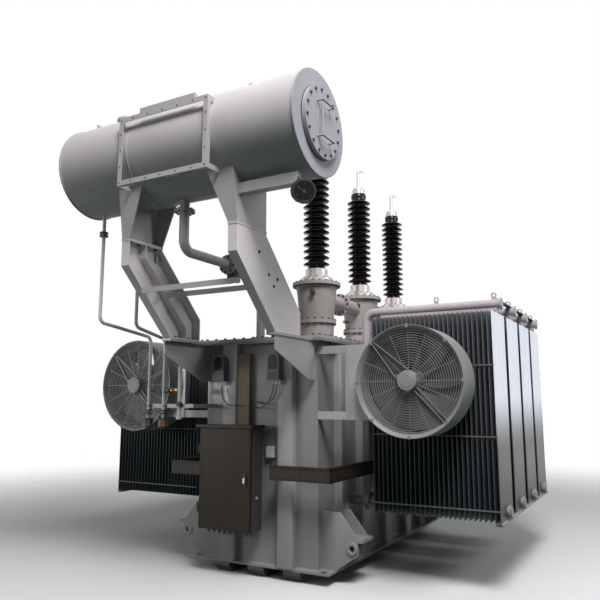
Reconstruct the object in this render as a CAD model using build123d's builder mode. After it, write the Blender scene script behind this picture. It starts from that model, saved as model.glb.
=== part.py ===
from build123d import *
import math
import os

# Oil-filled power transformer: tank on skids, goose-neck legs with an oil conservator,
# three high-voltage bushings, two radiator banks and two axial fans.
# Millimetres. X is across the tank, Y runs from the conservator end (-Y) to the far end,
# Z is up, and the origin is on the ground under the middle of the tank.

# Running and assembly clearances
seat_gap = 0.3          # between curved faces that sit against each other
pin_gap = 0.1           # radial, hinge pins and motor shafts
running_gap = 6.0       # beside anything that turns

# Skids, base plate and tank
skid_width = 180.0
skid_height = 100.0
skid_spacing = 400.0
skid_bevel = 70.0
skid_toe = 70.0
base_width = 1580.0
base_length = 3280.0
base_thickness = 20.0
tank_width = 1312.0
tank_length = 3160.0
tank_height = 2150.0
flange_overhang = 90.0
flange_thickness = 25.0
cover_thickness = 30.0

# Box stiffeners welded to the tank walls
stiffener_width = 180.0
stiffener_depth = 80.0
end_stiffener_x = 330.0
side_stiffener_y = (-1140.0, -630.0, 0.0, 630.0, 1140.0)

# Jacking pads at the lower corners
pad_reach = 404.0
pad_level = 385.0
pad_thickness = 30.0
pad_width = 240.0
pad_gusset = 25.0
pad_gusset_top = 640.0
pad_nose = 354.0
pad_shoulder = 174.0
pad_foot = 134.0
eye_drop = 115.0
pad_y = 1362.0
hauling_eye = 56.0

# Brackets, goose-neck legs and saddles of the conservator
leg_span = 1270.0
leg_flange = 90.0
leg_plate = 12.0
leg_depth = 440.0
leg_lean = 605.0
leg_heel = 220.0
leg_bend = 45.0
leg_height = 845.0
joint_lip = 4.0
bracket_plate = 25.0
bracket_reach = 745.0
bracket_nose = 130.0
bracket_root = 375.0
bracket_root_flat = 140.0
saddle_flare = 0.4             # inward, per millimetre of rise
saddle_forward = 0.14          # towards -Y, per millimetre of rise
saddle_strap_width = 270.0
saddle_strap = 10.0
cross_bar = 50.0
cross_bar_wall = 8.0
cross_bar_level = 425.0

# Conservator drum and what it carries
drum_radius = 435.0
drum_length = 2526.0
drum_rise = 785.0
end_rim = 22.0
end_thickness = 14.0
manhole_radius = 300.0
manhole_thickness = 38.0
handle_bar = 16.0
handle_span = 190.0
handle_level = 150.0
handle_reach = 55.0
frame_width = 980.0
frame_bottom = 370.0
frame_top = 255.0
frame_stand_off = 455.0
frame_bar = 45.0
frame_wall = 6.0
frame_depth = 40.0
beam_plate_height = 45.0
beam_plate_ends = (-255.0, 350.0)
vent_x = -860.0
vent_radius = 55.0
vent_height = 60.0
vent_flange = 94.0
fitting_bury = 109.0
plug_x = 620.0
plug_radius = 32.0
plug_height = 70.0
lug_inset = 73.0
lug_height = 70.0
lug_thickness = 16.0
lug_hole = 35.0

# Oil-level gauge
gauge_arm = 90.0
gauge_inset = 73.0
gauge_arm_level = 285.0
gauge_radius = 80.0
gauge_depth = 70.0
gauge_facing = (0.3, -1.0, -0.35)

# Pipework between conservator, gas relay and tank
relay_pipe = 90.0
relay_pipe_x = -100.0
relay_pipe_bend = 110.0
relay_pipe_flange = 190.0
relay_flange_drop = 100.0
relay_level = 3000.0
relay_size = 190.0
relay_length = 170.0
relay_dome = 48.0
relay_dome_height = 95.0
relay_y = -1940.0
relay_drop_y = -1430.0
flange_plate = 24.0

# Breather pipes beside the left leg
breather_pipe = 34.0
breather_bend = 70.0
breather_inset = (148.0, 347.0)
breather_knee = (2420.0, 2390.0)
breather_top_y = (-2700.0, -2420.0)
breather_fall = 90.0
breather_level = 1500.0
breather_y = -1980.0
breather_cap = 58.0
breather_cap_height = 26.0
breather_radius = 50.0
breather_height = 100.0
drain_offset = 75.0
drain_drop = 115.0
drain_blank = 60.0
hanger_bar = 40.0
hanger_wall = 6.0
hanger_level = 1600.0

# High-voltage bushings on their turrets
bushing_x = 410.0
bushing_y = (-1130.0, 0.0, 1120.0)
turret_neck = 180.0
turret_neck_height = 170.0
turret_flange = 205.0
turret_flange_thickness = 40.0
turret_top_radius = 215.0
turret_body_height = 360.0
turret_rim = 255.0
turret_rim_thickness = 34.0
foot_radius = 118.0
foot_flange_radius = 172.0
foot_flange_height = 50.0
foot_height = 150.0
shed_count = 14
shed_radius = 141.0
core_radius = 82.0
shed_droop = 0.4
insulator_height = 1160.0
cap_radius = 75.0
cap_height = 60.0
rod_radius = 20.0
rod_height = 250.0
link_pipe = 170.0
link_level = 450.0
link_flange = 250.0

# Panel radiators, four each side
panel_count = 27
panel_pitch = 45.0
panel_width = 550.0
panel_thickness = 12.0
panel_bottom = 625.0
panel_top = 2485.0
left_panel_top = 2100.0
panel_neck = 60.0
panel_neck_height = 45.0
radiator_rows = 4
radiator_pitch = 630.0
radiator_front = -1220.0
radiator_x = 1068.0
header_radius = 45.0
header_overrun = 40.0
lower_header_z = 685.0
left_header_z = 2040.0
goose_level = 2110.0
goose_x = 900.0
goose_bend = 100.0
header_flange = 85.0
header_flange_gap = 10.0
tie_levels = (715.0, 1350.0, 1985.0)
tie_height = 12.0
tie_thickness = 8.0
tie_angle = 50.0
foot_bar = 30.0

# Axial fans in front of the radiators
fan_x = 1600.0
fan_z = 1845.0
fan_front = -1680.0
fan_depth = 350.0
fan_rim_radius = 500.0
fan_mouth_radius = 494.0
fan_barrel_radius = 450.0
fan_bell = 90.0
guard_ring_count = 4
guard_bar = 8.0
guard_spokes = 8
guard_sides = 24
motor_radius = 90.0
motor_length = 255.0
motor_nose = 90.0
shaft_radius = 14.0
shaft_length = 90.0
hub_radius = 105.0
hub_length = 80.0
blade_count = 8
blade_root_chord = 105.0
blade_tip_chord = 170.0
blade_root_pitch = 48.0
blade_tip_pitch = 24.0
blade_thickness = 6.0
fan_plate = 10.0
fan_plate_y = -1560.0
fan_plate_half = 350.0
fan_strip_x = 960.0
fan_strip_depth = 60.0
fan_brace_height = 75.0
fan_brace_depth = 40.0
fan_brace_offset = 310.0

# Control cabinet, thermometers and cable trays on the end wall
cabinet_left = -530.0
cabinet_right = 80.0
cabinet_bottom = 445.0
cabinet_top = 1410.0
cabinet_depth = 175.0
cabinet_wall = 4.0
roof_overhang = 30.0
roof_thickness = 26.0
door_thickness = 24.0
door_margin = 8.0
hinge_pin = 6.0
hinge_barrel = 11.0
hinge_length = 70.0
hinge_offset = 14.0
hinge_arm = 16.0
hinge_root = 40.0
hinge_inset = 170.0
latch_length = 130.0
latch_width = 26.0
latch_depth = 30.0
latch_inset = 60.0
thermometer_x = (-410.0, 250.0)
thermometer_width = 200.0
thermometer_corner = 60.0
thermometer_height = 310.0
thermometer_depth = 90.0
thermometer_level = 1830.0
tray_height = 130.0
tray_depth = 60.0
tray_start = 270.0
tray_arm = 40.0
tray_level = 940.0
tray_stand_off = 250.0
tray_rear = 900.0
riser_width = 140.0
riser_x = -165.0
riser_depth = 60.0
riser_bottom = 1250.0
riser_top = 2150.0
lead_diameter = 10.0
lead_corner = 0.45             # of the shorter run, left to each side of a corner for its arc
lead_offset = 20.0
lead_left_end = 40.0
# along X, along Y, and the drop from the box, of each corner of a lead
lead_left_course = ((0, 0, 65), (0.15, -0.2, 130), (0.45, -0.6, 180), (0.75, -0.75, 202),
                    (1, -0.02, 205), (1, 1, 205))
lead_upper_course = ((0, 0, 70), (0.15, 0.15, 150), (0.44, 0.44, 200), (0.74, 1, 165), (1, 1, 165))
lead_lower_course = ((0, 0, 85), (0.17, -0.2, 180), (0.49, 0.2, 240), (0.77, 1, 220), (1, 1, 220))

# Cable box on the far end wall
box_width = 900.0
box_depth = 360.0
box_bottom = 1250.0
box_height = 820.0

# Levels and faces that follow from the sizes above
half_x = tank_width / 2
half_y = tank_length / 2
stiffener_face = -half_y - stiffener_depth
flange_x = half_x + flange_overhang
flange_y = half_y + flange_overhang
base_top = skid_height + base_thickness
tank_top = base_top + tank_height
flange_under = tank_top - flange_thickness
cover_top = tank_top + cover_thickness
foot_level = flange_under + bracket_plate
leg_top = foot_level + leg_height
leg_web = leg_span / 2
leg_inner = leg_web - leg_flange
foot_front = -half_y - bracket_reach
neck_front = foot_front - leg_lean
rib_y = foot_front + leg_depth / 2
rib_foot = foot_level + leg_heel / 2
drum_y = neck_front + leg_depth / 2
drum_z = leg_top + drum_rise
drum_half = drum_length / 2
lug_x = drum_half - lug_inset
breather_x = [inset - drum_half for inset in breather_inset]
turret_top = (cover_top + turret_neck_height + turret_flange_thickness
              + turret_body_height + turret_rim_thickness)
insulator_foot = turret_top + foot_height
insulator_top = insulator_foot + insulator_height

os.makedirs("parts", exist_ok=True)


def save(builder, name):
    builder.part.label = name
    export_step(builder.part, f"parts/{name}.step")


def save_left(right, name):
    """Write the mirror image of a piece drawn on the right."""
    with BuildPart() as left:
        mirror(right.part, about=Plane.YZ)
    save(left, f"{name}_left")


def save_pair(right, name):
    """Write a piece of the right side, and its mirror image on the left, as two nodes."""
    save(right, f"{name}_right")
    save_left(right, name)


def block(x0, x1, y0, y1, z0, z1, mode=Mode.ADD):
    """A box between two corners, in the part being built."""
    with Locations(((x0 + x1) / 2, (y0 + y1) / 2, (z0 + z1) / 2)):
        Box(x1 - x0, y1 - y0, z1 - z0, mode=mode)


def rod(start, end, radius, mode=Mode.ADD):
    """A straight round bar between two points, in the part being built."""
    start, end = Vector(*start), Vector(*end)
    middle = Plane(origin=(start + end) / 2, z_dir=end - start)
    with Locations(middle.location):
        Cylinder(radius, (end - start).length, mode=mode)


def disc(centre, direction, radius, thickness):
    """A round flange across a pipe, in the part being built."""
    half = Vector(*direction).normalized() * (thickness / 2)
    centre = Vector(*centre)
    rod(centre - half, centre + half, radius)


def pipe(points, diameter, bend):
    """A round pipe along straight runs, with bends of one radius."""
    start = Vector(*points[0])
    with BuildPart() as tube:
        with BuildLine() as route:
            FilletPolyline(*points, radius=bend)
        with BuildSketch(Plane(origin=start, z_dir=Vector(*points[1]) - start)):
            Circle(diameter / 2)
        sweep(path=route.line)
    return tube.part


# Skids with raised toes
with BuildPart() as skids:
    half = base_length / 2
    for x in (-skid_spacing, 0, skid_spacing):
        with BuildSketch(Plane.YZ.offset(x - skid_width / 2)):
            Polygon((-half, skid_height), (-half, skid_toe), (-half + skid_bevel, 0),
                    (half - skid_bevel, 0), (half, skid_toe), (half, skid_height))
    extrude(amount=skid_width)
save(skids, "skids")

# Base plate
with BuildPart() as base_plate:
    block(-base_width / 2, base_width / 2, -base_length / 2, base_length / 2, skid_height, base_top)
save(base_plate, "base_plate")

# Tank with its top flange, and the bolted cover
with BuildPart() as tank_body:
    block(-half_x, half_x, -half_y, half_y, base_top, tank_top)
    block(-flange_x, flange_x, -flange_y, flange_y, flange_under, tank_top)
save(tank_body, "tank_body")

with BuildPart() as tank_cover:
    block(-flange_x, flange_x, -flange_y, flange_y, tank_top, cover_top)
save(tank_cover, "tank_cover")

# Box stiffeners on the end walls and the side walls
with BuildPart() as stiffeners:
    half = stiffener_width / 2
    for y in side_stiffener_y:
        block(half_x, half_x + stiffener_depth, y - half, y + half, base_top, flange_under)
    for face, wall in ((stiffener_face, -half_y), (half_y, -stiffener_face)):
        block(end_stiffener_x - half, end_stiffener_x + half, face, wall, base_top, flange_under)
    mirror(about=Plane.YZ)
save(stiffeners, "wall_stiffeners")

# Jacking pads: two slant-topped gussets over a pad, the outer one with a hauling eye
with BuildPart() as jacking_pads:
    outer_y = -pad_y - pad_width / 2
    inner_y = -pad_y + pad_width / 2 - pad_gusset
    for y, drop in ((outer_y, eye_drop), (inner_y, 0)):
        with BuildSketch(Plane.XZ.offset(-y - pad_gusset)):
            Polygon((half_x, base_top), (half_x + pad_foot, base_top),
                    (half_x + pad_nose, pad_level - drop),
                    (half_x + pad_nose, pad_level + pad_thickness),
                    (half_x + pad_shoulder, pad_gusset_top), (half_x, pad_gusset_top))
            if drop:
                with Locations((half_x + pad_nose - hauling_eye, pad_level - hauling_eye)):
                    Circle(hauling_eye / 2, mode=Mode.SUBTRACT)
    extrude(amount=pad_gusset)
    block(half_x, half_x + pad_reach, outer_y, -pad_y + pad_width / 2, pad_level, pad_level + pad_thickness)
    mirror(about=Plane.XZ)
    mirror(about=Plane.YZ)
save(jacking_pads, "jacking_pads")

# Brackets: a trapezoid gusset under a top plate, in front of the end wall
with BuildPart() as bracket:
    with BuildSketch(Plane.YZ.offset(leg_web - leg_plate)):
        Polygon((-half_y, flange_under), (foot_front, flange_under),
                (foot_front, flange_under - bracket_nose),
                (-half_y - bracket_root_flat, flange_under - bracket_root),
                (-half_y, flange_under - bracket_root))
    extrude(amount=leg_plate)
    block(leg_inner, leg_web + leg_plate, foot_front - leg_plate, -half_y - flange_overhang,
          flange_under, foot_level)
    mirror(about=Plane.YZ)
save(bracket, "leg_brackets")


# Goose-neck legs: a deep channel, open towards the middle, with a rib along it
def leg_outline(inset=0.0):
    slope = math.tan(math.radians(leg_bend / 2)) * inset
    rear = foot_front + leg_depth
    Polygon((foot_front + inset + slope, foot_level + inset),
            (rear - inset, foot_level + inset),
            (rear - inset, foot_level + leg_heel - slope),
            (rear - leg_lean - inset, foot_level + leg_heel + leg_lean - slope),
            (rear - leg_lean - inset, leg_top - inset),
            (neck_front + inset, leg_top - inset),
            (neck_front + inset, foot_level + leg_lean + slope))


def joint_plate(z0, z1):
    """A lipped plate round the top of a right-hand leg, in the part being built."""
    block(leg_inner - joint_lip, leg_web + joint_lip, neck_front - joint_lip,
          neck_front + leg_depth + joint_lip, z0, z1)


with BuildPart() as leg:
    with BuildSketch(Plane.YZ.offset(leg_inner)):
        leg_outline()
    extrude(amount=leg_flange)
    with BuildSketch(Plane.YZ.offset(leg_inner)):
        leg_outline(leg_plate)
    extrude(amount=leg_flange - leg_plate, mode=Mode.SUBTRACT)
    with BuildSketch(Plane.YZ.offset(leg_inner)):
        Polygon((rib_y, foot_level + leg_plate), (rib_y + leg_plate, foot_level + leg_plate),
                (rib_y + leg_plate, rib_foot), (rib_y + leg_plate - leg_lean, rib_foot + leg_lean),
                (rib_y + leg_plate - leg_lean, leg_top - leg_plate),
                (rib_y - leg_lean, leg_top - leg_plate), (rib_y - leg_lean, rib_foot + leg_lean),
                (rib_y, rib_foot))
    extrude(amount=leg_flange - leg_plate)
    joint_plate(leg_top - leg_plate, leg_top)
save_pair(leg, "leg")

# Saddles: web, flared front and rear plates, and a strap rolled to the drum
with BuildPart() as saddle:
    neck_rear = neck_front + leg_depth
    inner_top = leg_inner - saddle_flare * drum_rise
    with BuildSketch(Plane.YZ.offset(leg_web - leg_plate)):
        Polygon((neck_front, leg_top), (neck_rear, leg_top), (neck_rear, drum_z),
                (neck_front - saddle_forward * drum_rise, drum_z))
    extrude(amount=leg_plate)
    front_face = Plane(origin=(0, neck_front, leg_top), x_dir=(1, 0, 0), z_dir=(0, -1, -saddle_forward))
    with BuildSketch(front_face):
        Polygon((leg_inner, 0), (leg_web, 0), (leg_web, drum_rise), (inner_top, drum_rise))
    extrude(amount=-leg_plate)
    with BuildSketch(Plane.XZ.offset(-neck_rear)):
        Polygon((leg_inner, leg_top), (leg_web, leg_top), (leg_web, drum_z), (inner_top, drum_z))
    extrude(amount=leg_plate)
    joint_plate(leg_top, leg_top + leg_plate)
    with BuildSketch(Plane.YZ.offset(leg_web - saddle_strap_width)):
        with Locations((drum_y, drum_z)):
            Circle(drum_radius + seat_gap + saddle_strap)
        with Locations((drum_y, drum_z - drum_radius)):
            Rectangle(leg_depth, drum_radius, mode=Mode.INTERSECT)
    extrude(amount=saddle_strap_width)
    rod((-leg_web, drum_y, drum_z), (drum_half, drum_y, drum_z), drum_radius + seat_gap, Mode.SUBTRACT)
    mirror(about=Plane.YZ)
save(saddle, "saddles")

# Two angle bars between the legs, at the front flange and at the rib
with BuildPart() as cross_bars:
    top = foot_level + cross_bar_level
    for y in (foot_front - cross_bar_level, rib_y - cross_bar_level + rib_foot - foot_level):
        block(-leg_inner, leg_inner, y, y + cross_bar, top - cross_bar_wall, top)
        block(-leg_inner, leg_inner, y, y + cross_bar_wall, top - cross_bar, top)
save(cross_bars, "leg_cross_bars")

# Conservator drum, its end plates and the manhole cover with two handles
with BuildPart() as drum:
    rod((-drum_half, drum_y, drum_z), (drum_half, drum_y, drum_z), drum_radius)
save(drum, "conservator_drum")

with BuildPart() as end_plates:
    rod((drum_half, drum_y, drum_z), (drum_half + end_thickness, drum_y, drum_z), drum_radius + end_rim)
    mirror(about=Plane.YZ)
save(end_plates, "conservator_ends")

with BuildPart() as manhole:
    cover_x = drum_half + end_thickness
    cover_face = cover_x + manhole_thickness
    rod((cover_x, drum_y, drum_z), (cover_face, drum_y, drum_z), manhole_radius)
    bar = handle_bar / 2
    for z in (drum_z - handle_level, drum_z + handle_level):
        for y in (drum_y - handle_span / 2, drum_y + handle_span / 2):
            rod((cover_face, y, z), (cover_face + handle_reach, y, z), bar)
        rod((cover_face + handle_reach - bar, drum_y - handle_span / 2, z),
            (cover_face + handle_reach - bar, drum_y + handle_span / 2, z), bar)
save(manhole, "manhole_cover")

# Stub, filler plug and lifting lug along the top of the drum
with BuildPart() as drum_fittings:
    crown = drum_z + drum_radius
    for x, radius, height in ((vent_x, vent_radius, vent_height), (plug_x, plug_radius, plug_height)):
        rod((x, drum_y, crown - fitting_bury), (x, drum_y, crown + height), radius)
    disc((vent_x, drum_y, crown + vent_height), (0, 0, 1), vent_flange, flange_plate)
    block(-lug_x - lug_thickness / 2, -lug_x + lug_thickness / 2, drum_y - lug_height, drum_y + lug_height,
          crown - fitting_bury, crown + lug_height)
    rod((-lug_x - lug_thickness, drum_y, crown + lug_height / 2),
        (-lug_x + lug_thickness, drum_y, crown + lug_height / 2), lug_hole / 2, Mode.SUBTRACT)
    rod((-drum_half, drum_y, drum_z), (drum_half, drum_y, drum_z), drum_radius + seat_gap, Mode.SUBTRACT)
save(drum_fittings, "drum_fittings")


# Angle frame on the front of the drum, held by the drum above and the saddles below
def saddle_face(z):
    """How far forward the saddles' front plates stand at a height."""
    return neck_front - saddle_forward * (z - leg_top)


with BuildPart() as drum_frame:
    frame_low = drum_z - frame_bottom
    frame_high = drum_z + frame_top
    front = drum_y - frame_stand_off
    half = frame_width / 2
    for x in (-half, half - frame_bar):
        block(x, x + frame_bar, front, front + frame_wall, frame_low, frame_high)
    for z in (frame_low, frame_high - frame_bar):
        block(-half, half, front, front + frame_wall, z, z + frame_bar)
    for x in (-half, half - frame_wall):
        block(x, x + frame_wall, front, front + frame_depth, frame_low, frame_high)
        block(x, x + frame_wall, front, drum_y, frame_high - frame_bar, frame_high)
        with BuildSketch(Plane.YZ.offset(x)):
            Polygon((front, frame_low), (saddle_face(frame_low), frame_low),
                    (saddle_face(frame_low + frame_bar), frame_low + frame_bar),
                    (front, frame_low + frame_bar))
        extrude(amount=frame_wall)
    for z in (frame_low, frame_high - frame_wall):
        block(-half, half, front, front + frame_depth, z, z + frame_wall)
    block(*beam_plate_ends, front, front + frame_depth, frame_high, frame_high + beam_plate_height)
    rod((-half, drum_y, drum_z), (half, drum_y, drum_z), drum_radius + seat_gap, Mode.SUBTRACT)
save(drum_frame, "drum_frame")

# Oil-level gauge on its arm
with BuildPart() as gauge_arm_bar:
    arm_end = drum_half - gauge_inset
    arm_y = neck_front + leg_plate
    arm_z = leg_top + gauge_arm_level
    block(leg_web, arm_end, arm_y, arm_y + gauge_arm, arm_z - gauge_arm / 2, arm_z + gauge_arm / 2)
save(gauge_arm_bar, "gauge_arm")

with BuildPart() as level_gauge:
    middle = Vector(arm_end + gauge_depth / 2, arm_y, arm_z)
    disc(middle, gauge_facing, gauge_radius, gauge_depth)
    block(arm_end, arm_end + gauge_depth, arm_y, arm_y + gauge_arm, arm_z - gauge_depth / 2,
          arm_z + gauge_depth / 2)
    block(leg_web, arm_end, arm_y, arm_y + gauge_arm, arm_z - gauge_arm / 2, arm_z + gauge_arm / 2,
          mode=Mode.SUBTRACT)
save(level_gauge, "level_gauge")

# Oil pipe from the drum through the gas relay to the cover
drum_outlet = (relay_pipe_x, drum_y, drum_z - drum_radius - seat_gap)
relay_near = relay_y - relay_length / 2
relay_far = relay_y + relay_length / 2
with BuildPart() as relay_pipes:
    add(pipe([drum_outlet, (relay_pipe_x, drum_y, relay_level), (relay_pipe_x, relay_near, relay_level)],
             relay_pipe, relay_pipe_bend))
    flange = relay_pipe_flange / 2
    half = flange_plate / 2
    disc((relay_pipe_x, drum_y, drum_outlet[2] - relay_flange_drop), (0, 0, 1), flange, flange_plate)
    disc((relay_pipe_x, relay_near - half, relay_level), (0, 1, 0), flange, flange_plate)
    add(pipe([(relay_pipe_x, relay_far, relay_level), (relay_pipe_x, relay_drop_y, relay_level),
              (relay_pipe_x, relay_drop_y, cover_top)], relay_pipe, relay_pipe_bend))
    disc((relay_pipe_x, relay_far + half, relay_level), (0, 1, 0), flange, flange_plate)
    disc((relay_pipe_x, relay_drop_y, cover_top + half), (0, 0, 1), flange, flange_plate)
save(relay_pipes, "relay_pipes")

with BuildPart() as gas_relay:
    half = relay_size / 2
    relay_top = relay_level + half
    block(relay_pipe_x - half, relay_pipe_x + half, relay_near, relay_far, relay_level - half, relay_top)
    rod((relay_pipe_x, relay_y, relay_top), (relay_pipe_x, relay_y, relay_top + relay_dome_height),
        relay_dome)
save(gas_relay, "gas_relay")

# Breather pipes and a drain pipe, the breathers at their ends and the hanger that holds them
with BuildPart() as breather_pipes:
    for x, top_y, knee in zip(breather_x, breather_top_y, breather_knee):
        add(pipe([(x, top_y, drum_z), (x, top_y, knee), (x, breather_y, knee - breather_fall),
                  (x, breather_y, breather_level)], breather_pipe, breather_bend))
    rod((-drum_half, drum_y, drum_z), (drum_half, drum_y, drum_z), drum_radius + seat_gap, Mode.SUBTRACT)
    drain_x = -leg_web - drain_offset
    drain_y = -flange_y + breather_pipe
    drain_knee = flange_under - drain_drop
    add(pipe([(drain_x, drain_y, flange_under), (drain_x, drain_y, drain_knee),
              (drain_x, breather_y, drain_knee - breather_fall), (drain_x, breather_y, breather_level)],
             breather_pipe, breather_bend))
    disc((drain_x, breather_y, breather_level), (0, 0, 1), drain_blank / 2, flange_plate)
save(breather_pipes, "breather_pipes")

with BuildPart() as breathers:
    for x in breather_x:
        foot = breather_level - breather_height
        rod((x, breather_y, foot), (x, breather_y, breather_level), breather_radius)
        for z in (foot + breather_cap_height / 2, breather_level - breather_cap_height / 2):
            disc((x, breather_y, z), (0, 0, 1), breather_cap, breather_cap_height)
save(breathers, "breathers")

with BuildPart() as breather_hanger:
    hanger_y = breather_y + breather_pipe / 2 + seat_gap
    block(breather_x[0] - hanger_bar, -leg_inner, hanger_y, hanger_y + hanger_wall,
          hanger_level, hanger_level + hanger_bar)
    block(-leg_inner - hanger_wall, -leg_inner, hanger_y, -half_y, hanger_level, hanger_level + hanger_bar)
save(breather_hanger, "breather_hanger")


# Bushings: a flared turret, a metal foot, a shedded insulator and a terminal
def revolve_plane(y):
    return Plane(origin=(bushing_x, y, 0), x_dir=(1, 0, 0), z_dir=(0, -1, 0))


def bushing_axis(y):
    return Axis((bushing_x, y, 0), (0, 0, 1))


neck_end = cover_top + turret_neck_height
body_foot = neck_end + turret_flange_thickness
body_top = body_foot + turret_body_height
for name, y in zip(("front", "middle", "rear"), bushing_y):
    with BuildPart() as turret:
        with BuildSketch(revolve_plane(y)):
            Polygon((0, cover_top), (turret_neck, cover_top), (turret_neck, neck_end),
                    (turret_flange, neck_end), (turret_flange, body_foot),
                    (turret_neck, body_foot), (turret_top_radius, body_top), (turret_rim, body_top),
                    (turret_rim, turret_top), (0, turret_top))
        revolve(axis=bushing_axis(y))
    save(turret, f"turret_{name}")

    with BuildPart() as insulator:
        pitch = insulator_height / shed_count
        outline = [(0, insulator_foot)]
        for i in range(shed_count):
            outline.append((core_radius, insulator_foot + i * pitch))
            outline.append((shed_radius, insulator_foot + (i + shed_droop) * pitch))
        outline += [(core_radius, insulator_top), (0, insulator_top)]
        with BuildSketch(revolve_plane(y)):
            Polygon(*outline)
        revolve(axis=bushing_axis(y))
    save(insulator, f"insulator_{name}")

with BuildPart() as feet:
    for y in bushing_y:
        with BuildSketch(revolve_plane(y)):
            Polygon((0, turret_top), (foot_flange_radius, turret_top),
                    (foot_flange_radius, turret_top + foot_flange_height),
                    (foot_radius, turret_top + foot_flange_height), (foot_radius, insulator_foot),
                    (0, insulator_foot))
        revolve(axis=bushing_axis(y))
save(feet, "bushing_feet")

with BuildPart() as terminals:
    for y in bushing_y:
        rod((bushing_x, y, insulator_top), (bushing_x, y, insulator_top + cap_height), cap_radius)
        rod_top = insulator_top + cap_height + rod_height
        rod((bushing_x, y, insulator_top), (bushing_x, y, rod_top), rod_radius)
save(terminals, "terminals")

# Gas pipes that link the turrets
with BuildPart() as turret_links:
    level = cover_top + link_level
    for near, far in zip(bushing_y[:-1], bushing_y[1:]):
        rod((bushing_x, near, level), (bushing_x, far, level), link_pipe / 2)
        disc((bushing_x, (near + far) / 2, level), (0, 1, 0), link_flange / 2, 2 * flange_plate)
    for y in bushing_y:
        with Locations((bushing_x, y, (body_foot + body_top) / 2)):
            Cone(turret_neck + seat_gap, turret_top_radius + seat_gap, turret_body_height,
                 mode=Mode.SUBTRACT)
save(turret_links, "turret_links")

# Radiators: the right bank rises to headers on goose-necks, the left one is lower, between straight headers
neck_top = panel_top + panel_neck_height
upper_header_z = neck_top + seat_gap + header_radius
panel_span = (panel_count - 1) * panel_pitch + panel_thickness
radiator_end = radiator_x + panel_span
header_end = radiator_end + header_overrun
row_fronts = [radiator_front + row * radiator_pitch for row in range(radiator_rows)]
row_middles = [front + panel_width / 2 for front in row_fronts]
notch = header_radius + seat_gap


def panel_outline(front, top, half_crown, crown):
    """Corners of a panel notched over its lower header, with a neck or a notch at the top middle."""
    middle = front + panel_width / 2
    back = front + panel_width
    slot = lower_header_z + notch
    return [(front, panel_bottom), (middle - notch, panel_bottom), (middle - notch, slot),
            (middle + notch, slot), (middle + notch, panel_bottom), (back, panel_bottom), (back, top),
            (middle + half_crown, top), (middle + half_crown, crown), (middle - half_crown, crown),
            (middle - half_crown, top), (front, top)]


banks = []
for top, half_crown, crown in ((panel_top, panel_neck / 2, neck_top),
                               (left_panel_top, notch, left_header_z - notch)):
    with BuildPart() as bank:
        for front in row_fronts:
            outline = panel_outline(front, top, half_crown, crown)
            for i in range(panel_count):
                with BuildSketch(Plane.YZ.offset(radiator_x + i * panel_pitch)):
                    Polygon(*outline)
        extrude(amount=panel_thickness)
    banks.append(bank)
right_bank, left_bank = banks
save(right_bank, "radiator_bank_right")
save_left(left_bank, "radiator_bank")

with BuildPart() as right_headers:
    flange_middle = half_x + stiffener_depth + header_flange_gap + flange_plate
    for y in row_middles:
        rod((half_x, y, lower_header_z), (header_end, y, lower_header_z), header_radius)
        disc((goose_x, y, lower_header_z), (1, 0, 0), header_flange, 2 * flange_plate)
        add(pipe([(half_x, y, goose_level), (goose_x, y, goose_level), (goose_x, y, upper_header_z),
                  (header_end, y, upper_header_z)], 2 * header_radius, goose_bend))
        disc((flange_middle, y, goose_level), (1, 0, 0), header_flange, 2 * flange_plate)
save(right_headers, "radiator_headers_right")

with BuildPart() as left_headers:
    for y in row_middles:
        for z in (lower_header_z, left_header_z):
            rod((half_x, y, z), (header_end, y, z), header_radius)
            disc((goose_x, y, z), (1, 0, 0), header_flange, 2 * flange_plate)
save_left(left_headers, "radiator_headers")

# Tie strips across the panel edges, and angle bars over and under the outer ends
with BuildPart() as ties:
    rear = row_fronts[-1] + panel_width
    bar_x = radiator_end - tie_angle
    for z in tie_levels:
        block(radiator_x, radiator_end, radiator_front - tie_thickness, radiator_front, z, z + tie_height)
        block(radiator_x, radiator_end, rear, rear + tie_thickness, z, z + tie_height)
    block(bar_x, radiator_end, radiator_front, rear, panel_bottom - foot_bar, panel_bottom)
    mirror(about=Plane.YZ)
    header_top = upper_header_z + header_radius + seat_gap
    block(bar_x, radiator_end, row_middles[0], row_middles[-1], header_top, header_top + tie_thickness)
    block(-radiator_end, -bar_x, radiator_front, rear, left_panel_top, left_panel_top + tie_thickness)
save(ties, "radiator_ties")

# Fans: shroud, guard, motor, turning rotor and the bracket to the tank
guard_radius = fan_barrel_radius - seat_gap
guard_back = fan_front + fan_bell + guard_bar
motor_front = fan_front - motor_nose
motor_back = motor_front + motor_length
hub_front = motor_back + running_gap
tip_radius = math.sqrt((fan_barrel_radius - running_gap)**2 - (blade_tip_chord / 2)**2)
with BuildPart() as blade:
    for radius, chord, pitch in ((hub_radius - blade_thickness, blade_root_chord, blade_root_pitch),
                                 (tip_radius, blade_tip_chord, blade_tip_pitch)):
        with BuildSketch(Plane.YZ.offset(radius)):
            Rectangle(chord, blade_thickness, rotation=pitch)
    loft()


def fan_plane(side, y):
    """A plane across the fan's axis, facing the front."""
    return Plane(origin=(side * fan_x, y, fan_z), x_dir=(1, 0, 0), z_dir=(0, -1, 0))


def guard_ring(radius):
    """A ring of flat-sided bar, cut clear inside, in the sketch being built."""
    RegularPolygon(radius, guard_sides)
    RegularPolygon(radius - guard_bar, guard_sides, mode=Mode.SUBTRACT)


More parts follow.
